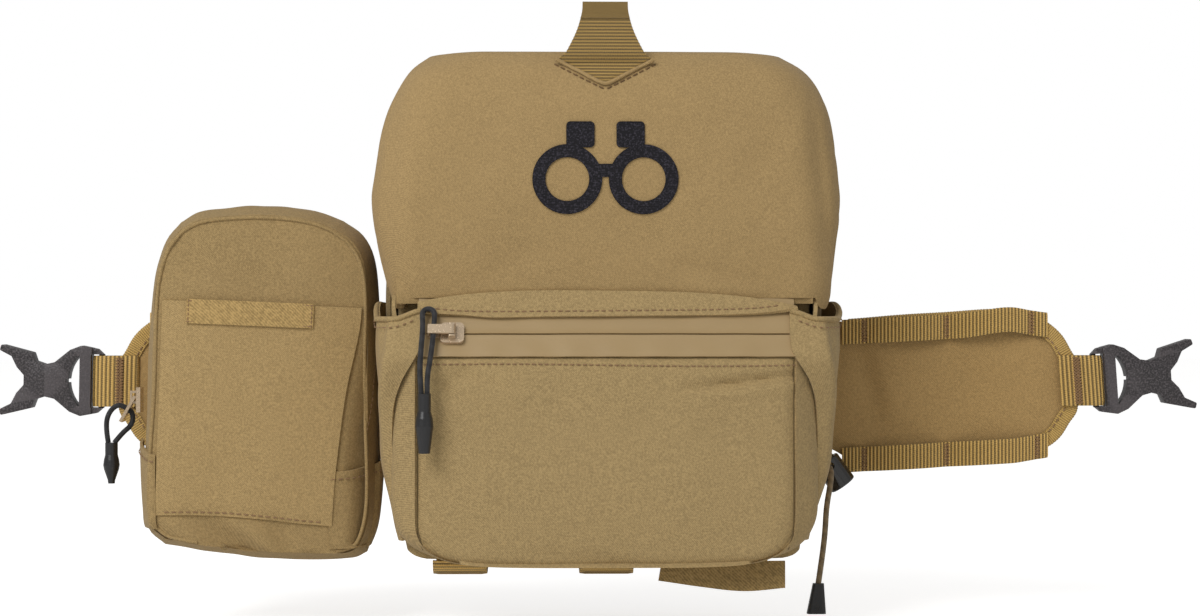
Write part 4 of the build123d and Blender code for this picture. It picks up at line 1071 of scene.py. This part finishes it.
class PACK_OT_hood(bpy.types.Operator):
    """Makes the padded hood with its foam and the strip along its hinge"""

    bl_idname = "pack.hood"
    bl_label = "Hood"

    def execute(self, context):
        hood = bag("hood", 58, hood_point, lambda middle: middle.z < -0.99, 2.2)
        dress(hood, "hood", "lid", ("lid_shell", "lid_front_panel"))

        def inner(a, b, c):
            ra, rb = rounded(a, b, 6)
            z = mix(24 if rb < -0.4 else 42, 114, (c + 1) / 2)
            front = max(-94, curve_at(HOOD_FRONT, z) + 5)
            return ra * min(89, curve_at(HOOD_LEFT, z) - 7), mix(front, -24, (rb + 1) / 2), z

        foam = bag("hood_foam", 20, inner, lambda m: m.z < -0.99 or m.y > 0.99, 2.0)
        dress(foam, "foam", "lid", ("lid_foam",))

        def strip(u, v):
            x = mix(-96, 96, u)
            return x, -96.2 - 0.6 * math.sin(math.pi * v), mix(2, 14, v)

        hinge = patch("hood_hinge", 80, 10, strip, 1.2)
        dress(hinge, "hood")
        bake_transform(hinge)
        return done()


class PACK_OT_hood_trim(bpy.types.Operator):
    """Makes the webbing pull, the pointed seam round it and the embroidered mark"""

    bl_idname = "pack.hood_trim"
    bl_label = "Hood trim"

    def execute(self, context):
        hood = bpy.data.objects["hood"]

        def surface(x, z, off):
            z_in = min(z, 112.0)
            y = on_front(hood, x, z_in, off).y
            if z > 112:
                y = mix(y, -96.8, ease((z - 112) / 6)) if z < 118 else -96.8
            return y

        def tab(u, v):
            z = mix(103.0, 141.0, v)
            half = curve_at([(103, 0.5), (113.3, 21), (117.8, 18), (123.5, 15), (128, 13), (132.4, 11.6),
                             (137, 10.6), (141, 10.4)], z)
            if z < 114.8:
                half = max(0.5, (z - 103) * 1.72)
            x = (u * 2 - 1) * half
            ribbed = z < 109 or 113.5 < z < 133
            rib = 0.15 * math.sin(2 * math.pi * z / PULL_RIB) if ribbed else 0.03 * math.sin(z * 9)
            lift = 0.6 if z > 133.5 else 0.0
            return x, surface(x * 0.98, z, 0.9) - rib - lift, z

        pull = patch("hood_pull", 16, 230, tab, 0.9, size=(0.036, 0.038))
        for corner in pull.data.uv_layers.active.data:
            along = corner.uv[1]
            corner.uv = (along + max(0, along - 0.030) * 2.4, corner.uv[0])
        dress(pull, "pull_webbing", "lid", ("lid_pull_tab",))

        points = [(-22.6, 114.6), (-12, 109), (-1.5, 103.4), (1.5, 103.4), (12, 109), (22.6, 114.6)]
        line = [line_at(points, k / 30) for k in range(31)]
        seam = as_mesh(wire("hood_seam", [Vector((x, surface(x, z, 1.0), z)) * MM for x, z in line], 0.0009))
        dress(seam, "hood", "lid")
        rows = []
        for sign in (-1, 1):
            row = []
            for k in range(13):
                x, z = line_at([(sign * 22.4, 112.0), (sign * 12, 106.4), (sign * 1.2, 100.9)], k / 12)
                row.append((x, surface(x, z, 0.25), z))
            rows.append(stitches("hood_stitches", row, 0.0034, 0.0024, 0.00042))
        out = surface(0, 135, 2.6)
        tack = stitches("hood_stitches", [(-2.5, out, 135.4), (3.0, out, 135.1)], 0.0024, 0.0018)
        sewn = join("hood_stitching", rows + [tack])
        dress(sewn, "hood_thread", "lid")
        self.emblem(hood)
        return done()

    def emblem(self, hood):
        """Plain mark of a pair of binoculars, in dense black thread."""
        flat = merged_copy("lid_emblem", "binocular_mark")
        edit(flat)
        bpy.ops.mesh.quads_convert_to_tris()
        bpy.ops.mesh.subdivide(number_cuts=4)
        leave_edit()
        front = min(v.co.y for v in flat.data.vertices)
        for vertex in flat.data.vertices:
            x, z = vertex.co.x / MM, vertex.co.z / MM
            top = on_front(hood, x, z, 0.75).y * MM
            vertex.co.y = top if vertex.co.y < front + 0.0004 else top + 0.0012
        smooth_edges(flat, 40)
        dress(flat, "emblem", "lid", ("lid_emblem",))


def slope_point(x, up, out=0.0):
    """Point on the sloping top of the front pocket, up and out from the panel's upper edge."""
    base = Vector((x, POCKET_FRONT + 0.2, PANEL_TOP))
    return base + SLOPE_UP * up + SLOPE_OUT * out


class PACK_OT_front_pocket(bpy.types.Operator):
    """Makes the front pocket, its corner seams and its stitching"""

    bl_idname = "pack.front_pocket"
    bl_label = "Front pocket"

    def execute(self, context):
        pocket = bag("front_pocket", 52, pocket_point, lambda m: m.y > 0.99 or m.z > 0.99, 1.8)
        dress(pocket, "pocket", "pack", ("front_pocket_panel", "front_pocket_gusset"))

        trim = []
        for sign in (-1, 1):
            line = []
            for k in range(25):
                z = mix(-24, -110, k / 24)
                x = sign * (85.6 - 3.4 * max(0, (-z - 98) / 14) ** 2)
                line.append(on_front(pocket, x, z, 0.0) * MM)
            trim.append(as_mesh(wire("pocket_seam", line, 0.0004)))
        seams = join("pocket_seams", trim)
        # the corner seams are coloured with painted shade
        dress(seams, "seam", "pack")
        low = [(x, PANEL_TOP - 4.2 - 0.5 * math.sin(x / 30)) for x in range(-82, 87, 6)]
        sewn = stitches("pocket_stitching", line_on(pocket, low, 0.25, 60), 0.0029, 0.0020)
        dress(sewn, "thread", "pack")
        return done()


FLAP_MIDDLE, FLAP_HALF = 1, 87


def flap_hem(x):
    """Height of the storm flap's lower edge."""
    s = (x - FLAP_MIDDLE) / FLAP_HALF
    return -3.6 + 3.4 * abs(s) ** 7 + 0.8 * s


class PACK_OT_zipper(bpy.types.Operator):
    """Makes the coated zipper tapes, the storm flap and the slider's finishes"""

    bl_idname = "pack.zipper"
    bl_label = "Front zipper"

    def execute(self, context):
        tapes = []
        for low, high in ((-0.4, 10.55), (11.45, 30.8)):
            def tape(u, v, low=low, high=high):
                up = mix(low, high, v)
                x = mix(-85.6, 87, u)
                lip = 0.5 * math.exp(-(((up - 11) / 1.2) ** 2))
                wave = 0.25 * ripple(x, up, 0, 16, 61)
                wave += 0.14 * math.sin(x / 3.1) * math.exp(-((up - 2) / 4) ** 2)
                return slope_point(x, up, 0.3 + lip + wave)
            tapes.append(patch("tape", 200, 12, tape, 0.9))
        tape = join("coated_tapes", tapes)
        dress(tape, "tape", "pack", ("zipper_tape_lower", "zipper_tape_upper"))
        dress_nodes("coil", "zipper_coil")
        dress_nodes("slider", "front_slider", "front_pull_tab")

        def flap(u, v):
            x = mix(-86, 88, u)
            s = (x - FLAP_MIDDLE) / FLAP_HALF
            low = flap_hem(x) - 0.7 * math.sin(x / 9) * math.exp(-(((x + 62) / 16) ** 2))
            high = 8.0 - 6.0 * abs(s) ** 3.2 - 0.9 * s
            z = mix(low, high, v)
            up = (z - PANEL_TOP) / 0.866
            point = slope_point(x, up, 1.6 + 1.5 * math.sin(math.pi * min(1, v * 1.1 + 0.1)))
            point.z = z
            point.y = min(max(point.y, -103.8), mix(-103.0, -100.4, v)) - 0.35 * ripple(x, z, 0, 14, 71)
            point.y -= 0.8 * (1 - v) ** 3
            return point

        cover = patch("storm_cover", 190, 16, flap, 1.5)
        dress(cover, "pocket", "pack", ("storm_flap",))
        rows = [(x, flap_hem(x) + 2.4) for x in range(-80, 83, 8)]
        sewn = stitches("cover_stitching", line_on(cover, rows, 0.2, 60), 0.0033, 0.0021)
        dress(sewn, "thread", "pack")
        return done()


class PACK_OT_side_pockets(bpy.types.Operator):
    """Makes the two stretch side pockets with their rolled mouths"""

    bl_idname = "pack.side_pockets"
    bl_label = "Side pockets"

    def execute(self, context):
        for sign, side in SIDES:
            place = side_pocket_place(sign)
            pocket = patch("side_pouch_" + side, 70, 80, place, 1.5, flipped=sign < 0)
            dress(pocket, "pocket", "pack", ("side_pocket_" + side,))
            rim = [Vector(place(k / 24, 0.992)) + Vector((sign * 0.2, -0.2, 0)) for k in range(25)]
            roll = as_mesh(wire("pocket_rim_" + side, [p * MM for p in rim], 0.0013))
            dress(roll, "pocket", "pack")
            line = [Vector(place(k / 24, 0.955)) + Vector((sign * 1.0, -0.8, 0)) for k in range(1, 15)]
            sewn = stitches("rim_stitching_" + side, line, 0.0034, 0.0018)
            dress(sewn, "thread", "pack")
        return done()


class PACK_OT_wings(bpy.types.Operator):
    """Makes the two side wings with their bound edges"""

    bl_idname = "pack.wings"
    bl_label = "Wings"

    def execute(self, context):
        for sign, side in SIDES:
            panel = patch("wing_" + side, 110, 60, wing_place(sign), 4.0, flipped=sign < 0)
            dress(panel, "wing")
            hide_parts("wing_panel_" + side)
            blend_wing(panel)
            self.binding(sign, side)
        return done()

    def binding(self, sign, side):
        """Folded tape round the wing's rim, ribbed, with a row of stitches on its front."""
        rim = [wing_edge(k / 20, False) for k in range(4, 21)]
        rim += [wing_edge(k / 20, True) for k in range(20, 3, -1)]
        middle = Vector((170, -38))
        fold_y, half_fold = -11.1, 2.75
        marks = [line_at(rim, k / 200) for k in range(201)]
        length = sum((b - a).length for a, b in zip(marks, marks[1:]))

        def outwards(here, k):
            """Direction out of the wing at a place on its rim, near mark k."""
            run = (marks[min(k + 3, 200)] - marks[max(k - 3, 0)]).normalized()
            out = Vector((-run.y, run.x))
            return -out if out.dot(here - middle) < 0 else out

        def place(u, v):
            k = min(int(u * 200), 199)
            here = marks[k].lerp(marks[k + 1], u * 200 - k)
            turn = mix(-1, 1, v)
            rib = 0.12 * math.sin(2 * math.pi * u * length / 1.5)
            if abs(turn) > 0.35:
                inward = (abs(turn) - 0.35) / 0.65 * 6.8
                y = fold_y + math.copysign(half_fold + rib, turn)
            else:
                angle = turn / 0.35 * math.pi / 2
                inward = -math.cos(angle) * (1.0 + rib)
                y = fold_y + math.sin(angle) * (half_fold + rib)
            spot = here - outwards(here, k) * inward
            return sign * spot.x, y, spot.y

        tape = patch("wing_rim_" + side, 460, 16, place, 0, flipped=sign > 0, size=(length * MM, 0.02))
        dress(tape, "binding")
        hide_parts("wing_binding_" + side)
        blend_wing(tape)
        row = []
        for k in range(8, 193, 3):
            spot = marks[k] - outwards(marks[k], k) * 5.4
            row.append((sign * spot.x, -14.15, spot.y))
        sewn = stitches("wing_stitching_" + side, row, 0.0032, 0.0020)
        dress(sewn, "thread", side + "_wing")


class PACK_OT_strips(bpy.types.Operator):
    """Makes the webbing strips across the wings, tacked down into loops"""

    bl_idname = "pack.strips"
    bl_label = "Wing strips"

    def execute(self, context):
        for sign, side in SIDES:
            made, tacks = [], []
            for middle, tilt, hump, droop in ((-9.4, 2.9, 2.1, 1.8), (-72.6, 3.2, 0.0, -1.6)):
                rise = math.tan(math.radians(tilt))

                def level(x, middle=middle, rise=rise, hump=hump, droop=droop):
                    return (middle + (x - 170) * rise + hump * math.exp(-(((x - 200) / 14) ** 2))
                            - droop * max(0, (x - 205) / 17))

                posts = [119.5, 130.5, 171.5, *((213.5, 221.8) if middle > -40 else (216.5, 222.0))]
                line = []
                for k in range(53):
                    x = mix(posts[0], posts[-1], k / 52)
                    j = max(i for i in range(len(posts) - 1) if posts[i] <= x + 1e-6)
                    share = (x - posts[j]) / (posts[j + 1] - posts[j])
                    arch = (4.2 if posts[j + 1] - posts[j] > 20 else 1.0) * math.sin(math.pi * share) ** 0.7
                    line.append(Vector((sign * x, -14.7 - max(0, arch), level(x))))
                if sign < 0:
                    line.reverse()
                made.append(strap("strip", line, (0, 0, 1), 12.2, 1.8, thick=1.3, rib=0.26))
                for post in posts[1:4]:
                    for shift in (-0.7, 0.7):
                        x = post + shift
                        low, high = ((sign * x, -15.5, level(x) + end) for end in (-5.4, 5.4))
                        tacks.append(zigzag("tack", low, high))
            strips = join("wing_strips_" + side, made)
            dress(strips, "webbing", side + "_wing", ("molle_strips_" + side,))
            sewn = join("strip_tacks_" + side, tacks)
            dress(sewn, "tack", side + "_wing")
        return done()


class PACK_OT_ends(bpy.types.Operator):
    """Makes the webbing loops at the wings' ends and the finishes of the two buckle halves"""

    bl_idname = "pack.ends"
    bl_label = "Ends and buckles"

    def execute(self, context):
        for sign, side, tilt in ((1, "right", 4.0), (-1, "left", 1.0)):
            across = Matrix.Rotation(math.radians(-tilt * sign), 3, "Y") @ Vector((0, 0, 1))
            lean = across.x / across.z
            line = [(sign * 228.0, -15.6), (sign * 236, -15.7), (sign * 241.5, -15.4), (sign * 246, -14.8),
                    (sign * 249.3, -13.2), (sign * 250.4, -11.0), (sign * 249.3, -8.8), (sign * 246, -7.2),
                    (sign * 241.5, -6.6), (sign * 236, -6.4), (sign * 228, -6.4)]
            points = [Vector((x, y, BAR.z)) for x, y in line]
            if sign < 0:
                points.reverse()
            loop = strap("end_loop_" + side, points, across, 25.0, 2.1, thick=1.5, rib=0.30)
            if sign < 0:
                flip(loop)
            dress(loop, "end_webbing", side + "_wing", ("end_webbing_" + side,))
            tacks = []
            for shift in (-0.9, 0.9):
                x = sign * (236.6 + shift)
                low, high = ((x + lean * end, -16.15, BAR.z + end) for end in (-11.5, 11.5))
                tacks.append(zigzag("tack", low, high, 1.9, 0.7, 0.0003))
            sewn = join("end_tack_" + side, tacks)
            dress(sewn, "tack", side + "_wing")
            buckle = softened_copy("buckle_" + side, "buckle_half_" + side, 0.7)
            dress(buckle, "buckle", side + "_buckle", ("buckle_" + side,))
        return done()


class PACK_OT_pouch(bpy.types.Operator):
    """Makes the padded pouch on the left wing, its piping, pockets and zipper"""

    bl_idname = "pack.pouch"
    bl_label = "Pouch"

    def execute(self, context):
        rear = bag("pouch_back", 40, pouch_point(False), lambda m: m.y < -0.99, 1.6)
        dress(rear, "pouch", "left_wing", ("pouch_rear_shell",))
        front = bag("pouch_front_half", 56, pouch_point(True), lambda m: m.y > 0.99, 1.6)
        dress(front, "pouch", "pouch_front", ("pouch_front_shell",))

        edge = pouch_ring(0, 0, 180)

        def band(u, v):
            here = edge[min(180, round(u * 180))]
            inward = (Vector((POUCH_HEART.x, here.y, POUCH_HEART.y)) - here).normalized()
            teeth = 0.35 * math.exp(-(((v - 0.5) / 0.12) ** 2))
            spot = here + inward * (1.7 - teeth)
            return spot.x, mix(-46.2, -39.5, v), spot.z

        tape = patch("pouch_zip_tape", 180, 12, band, 0)
        dress(tape, "pouch_tape", "left_wing", ("pouch_zipper_tape",))
        ring = pouch_ring(6.4, 0)
        pipe_line = [Vector((p.x, on_front(front, p.x, p.z, 0.2).y, p.z)) * MM
                     for p in ring[-15:-1] + ring[:64]]
        pipe = as_mesh(wire("pouch_rib", pipe_line, 0.0009))
        dress(pipe, "pouch", "pouch_front", ("pouch_piping",))
        self.slip_pocket(front)
        self.side_pockets(front)
        dress_nodes("slider", "pouch_slider", "pouch_pull_tab")
        made = []
        for x in (-199, -148.5):
            line = [Vector((x, -18.5, z)) for z in (22, 10, -20, -50, -80, -100)]
            made.append(strap("strap", line, (1, 0, 0), 12.5, 1.8))
        straps = join("pouch_straps", made)
        dress(straps, "webbing", "left_wing", ("pouch_molle_straps",))
        return done()

    def slip_pocket(self, front):
        """Flat pocket over the pouch's face, open at its top, with its woven label."""
        def foot(u):
            return mix(-97.5, -101.5, u) + 1.2 * math.sin(u * 4.5)

        def place(u, v):
            top = mix(3.8, 0.0, u)
            z = mix(foot(u), top, v)
            left = mix(-211.0, -207.7, (z + 97) / 100)
            x = mix(left, curve_at(SLIP_RIGHT, z), u)
            y = on_front(front, max(-208, min(-115.5, x)), z, 0).y
            rim = min(1, 0.2 + u * 10, 0.55 + v * 8)
            lift = 1.2 + 0.9 * math.sin(math.pi * u) * v + 0.5 * ripple(x, z, 0, 22, 81)
            return x, y - lift * rim - 0.4, z

        pocket = patch("pouch_slip", 90, 90, place, 1.3)
        dress(pocket, "slip", "pouch_front", ("pouch_slip_pocket",))
        low = [(mix(-209.5, -128, k / 20), foot(k / 20) + 1.5) for k in range(1, 20)]
        sewn = stitches("slip_stitching", line_on(pocket, low, 0.15, 40), 0.0034, 0.0022)
        dress(sewn, "thread", "pouch_front")

        def label(u, v):
            x, z = mix(-29.8, 29.8, u), mix(-5.7, 5.7, v)
            turn = math.radians(-2.4)
            x, z = (POUCH_HEART.x - 4 + x * math.cos(turn) - z * math.sin(turn),
                    -2.6 + x * math.sin(turn) + z * math.cos(turn))
            z_in = min(z, 0.2 - (x + 162) * 0.04)
            return x, on_front(pocket, x, z_in, 1.1).y, z

        tag = patch("pouch_tag", 60, 14, label, 0.9)
        dress(tag, "label", "pouch_front", ("pouch_label",))
        frame_line = []
        for u, v in ((0.015, 0.07), (0.985, 0.07), (0.985, 0.93), (0.015, 0.93), (0.015, 0.07)):
            frame_line.append(Vector(label(u, v)) + Vector((0, -0.1, 0)))
        rows = [stitches("tag", [a.lerp(b, k / 6) for k in range(7)], 0.0021, 0.0014)
                for a, b in zip(frame_line, frame_line[1:])]
        sewn = join("tag_stitching", rows)
        dress(sewn, "thread", "pouch_front")

    def side_pockets(self, front):
        """Stretch pockets that wrap the pouch's two lower corners."""
        made, rows = [], []
        for sign in (1, -1):
            def place(u, v, sign=sign):
                top = mix(-62.5, -69.0, u)
                if sign > 0:
                    top = mix(-70.0, -77.0, u) - 1.6 * math.sin(math.pi * u)
                z = mix(-113.5 if sign > 0 else -104.0, top, v)
                outer = pouch_side(sign, z)
                slack = 0.7 + 1.5 * v
                inner = min(outer - 8, curve_at(SLIP_RIGHT, z) - 1.5) if sign > 0 else outer + 8.0
                half = mix(outer - sign * 4, inner, 0.45)
                path = [(outer + sign * slack, -45.5), (outer + sign * (slack - 0.8), -55),
                        (outer - sign * 4, on_front(front, outer - sign * 6.2, z, 1.5).y + 1.5),
                        (half, on_front(front, half - sign * 2.2, z, 1.3).y),
                        (inner, on_front(front, inner - sign * 1.0, z, 1.0).y)]
                x, y = line_at(path, u)
                return x, y + 0.5 * ripple(x, z, 0, 15, 91), z
            made.append(patch("stretch", 40, 36, place, 1.3, flipped=sign > 0))
            row = [Vector(place(k / 20, 0.9)) + Vector((sign * 0.4, -0.4, 0)) for k in range(2, 21)]
            rows.append(stitches("stretch_row", row, 0.0034, 0.0022))
        pockets = join("pouch_stretch", made)
        dress(pockets, "pouch", "pouch_front", ("pouch_elastic_pockets",))
        line = line_on(front, [(-108.4, -26), (-109.6, -45), (-113.5, -71)], 0.3)
        rows.append(stitches("gusset_row", line))
        sewn = join("pouch_stitching", rows)
        dress(sewn, "thread", "pouch_front")


SWELL_STEPS = 12
SWELL_CAP = 0.003


class PACK_OT_back(bpy.types.Operator):
    """Makes the stiffened back cover, its padding, the anchor loops and the foot loops"""

    bl_idname = "pack.back"
    bl_label = "Back"

    def execute(self, context):
        def cover(u, v):
            a, c = u * 2 - 1, v * 2 - 1
            ra, rc = rounded(a, c, 9)
            return ra * 93, -8.1 + 0.3 * (1 - max(abs(a), abs(c)) ** 6), mix(-112, 88, (rc + 1) / 2)

        sheet = patch("back_cover", 50, 50, cover, 1.2, flipped=True)
        dress(sheet, "sheet", "pack", ("stiffener_sheet",))
        self.padding()
        loop = ((-7.4, 86), (-6.6, 96), (-5.6, 104), (-4.0, 106.4), (-2.4, 104), (-1.8, 96), (-1.4, 86))
        self.loops("anchor_loops", "strap_anchor_loops", (-66, 66), loop, 1.4)
        dress_nodes("ring", "d_ring_left", "d_ring_right")
        loop = ((-88, -117.2), (-86, -121.0), (-80, -124.0), (-62, -124.6), (-52, -122.8), (-43, -119.4),
                (-40, -117.0))
        self.loops("foot_loops", "bottom_webbing_loops", (-67.2, 63.2, 1.0), loop, 1.3)
        return done()

    def loops(self, name, node, places, line, thick):
        """Equal loops of webbing side by side, one at each x; line gives their (y, z)."""
        made = [strap("loop", [Vector((x, y, z)) for y, z in line], (1, 0, 0), 25.0, 2.1, thick)
                for x in places]
        dress(join(name, made), "webbing", "pack", (node,))

    def padding(self):
        """Stuffed pad against the wearer's back, blown up by a short cloth simulation."""
        def place(a, b, c):
            ra, rc = rounded(a, c, 6)
            edge = max(abs(a), abs(c))
            deep = 2.6 * (1 - edge ** 6)
            return ra * 81, -4.2 + b * (0.6 + deep), rc * 81

        pad = bag("back_padding", 14, place, None, 0)
        finish_modifier(pad, "REMESH", mode="VOXEL", voxel_size=0.006)
        start = [v.co.copy() for v in pad.data.vertices]
        only(pad)
        cloth = pad.modifiers.new("Cloth", "CLOTH")
        cloth.settings.use_pressure = True
        cloth.settings.uniform_pressure_force = 3.0
        cloth.settings.effector_weights.gravity = 0
        cloth.settings.quality = 5
        scene = bpy.context.scene
        for step in range(1, SWELL_STEPS + 1):
            scene.frame_set(step)
        bpy.ops.object.modifier_apply(modifier=cloth.name)
        scene.frame_set(1)
        for vertex, was in zip(pad.data.vertices, start):
            move = vertex.co - was
            if move.length > SWELL_CAP:
                vertex.co = was + move.normalized() * SWELL_CAP
        for vertex in pad.data.vertices:
            x, z = vertex.co.x / MM, vertex.co.z / MM
            channel = math.exp(-(((abs(x) - 27) / 2.6) ** 2)) + math.exp(-((z / 2.6) ** 2)) * 0.8
            if vertex.co.y > -0.0042:
                vertex.co.y = min(vertex.co.y, -0.0002) - 0.0022 * min(1, channel)
            else:
                vertex.co.y = max(vertex.co.y, -0.0079)
        finish_modifier(pad, "SUBSURF", levels=1, render_levels=1)
        smooth_edges(pad, 80)
        dress(pad, "mesh", "pack", ("back_pad",))


class PACK_OT_fittings(bpy.types.Operator):
    """Finishes the cord lock and its tab, and makes the label under the pocket"""

    bl_idname = "pack.fittings"
    bl_label = "Fittings and label"

    def execute(self, context):
        dress_nodes("lock", "cord_lock_barrel", "cord_lock_plunger")
        dress_nodes("steel", "cord_lock_spring")

        def tab(u, v):
            x = mix(97.5, 117.8, u)
            return x, -9.9 + 0.3 * math.sin(u * 9), mix(-83, -72.2, v) + 0.4 * math.sin(u * 5)

        anchor = patch("cord_tab", 24, 10, tab, 0, size=(0.02, 0.011))
        finish_modifier(anchor, "SOLIDIFY", thickness=0.0012, offset=1)
        dress(anchor, "webbing", "pack", ("cord_anchor_tab",))

        def label(u, v):
            x = mix(26.0, 83.0, u)
            low = curve_at([(26, -125.6), (45, -128.6), (64, -130.4), (83, -129.0)], x)
            z = mix(low, -116.5, v)
            return x - (1 - v) * 1.4 * (1 - u), -97.5 + 1.3 * math.sin((x - 26) / 9.5) * (1 - v), z

        tag = patch("foot_label", 80, 20, label, 0.8)
        # the hanging label is coloured with painted shade
        dress(tag, "foot_label", "pack", ("hanging_label",))
        return done()


class VIEW3D_PT_pack(bpy.types.Panel):
    """Lists the pack's settings and the pieces to make"""

    bl_label = "Binocular harness pack"
    bl_space_type = "VIEW_3D"
    bl_region_type = "UI"
    bl_category = "Pack"

    def draw(self, context):
        for settings in (context.scene.pack_sizes, context.scene.pack_colours):
            for name in settings.bl_rna.properties.keys():
                if name not in ("rna_type", "name"):
                    self.layout.prop(settings, name)
        for maker in MAKERS:
            self.layout.operator(maker.bl_idname)


MAKERS = (PACK_OT_stage, PACK_OT_cords, PACK_OT_body, PACK_OT_hood, PACK_OT_hood_trim, PACK_OT_front_pocket,
          PACK_OT_zipper, PACK_OT_side_pockets, PACK_OT_wings, PACK_OT_strips, PACK_OT_ends, PACK_OT_pouch,
          PACK_OT_back, PACK_OT_fittings)
CLASSES = (PackColours, PackSizes, *MAKERS, VIEW3D_PT_pack)


def register():
    for cls in CLASSES:
        bpy.utils.register_class(cls)
    bpy.types.Scene.pack_colours = bpy.props.PointerProperty(type=PackColours)
    bpy.types.Scene.pack_sizes = bpy.props.PointerProperty(type=PackSizes)


def unregister():
    del bpy.types.Scene.pack_sizes
    del bpy.types.Scene.pack_colours
    for cls in reversed(CLASSES):
        bpy.utils.unregister_class(cls)


def main():
    register()
    for maker in MAKERS:
        group, action = maker.bl_idname.split(".")
        getattr(getattr(bpy.ops, group), action)()


if __name__ == "__main__":
    main()
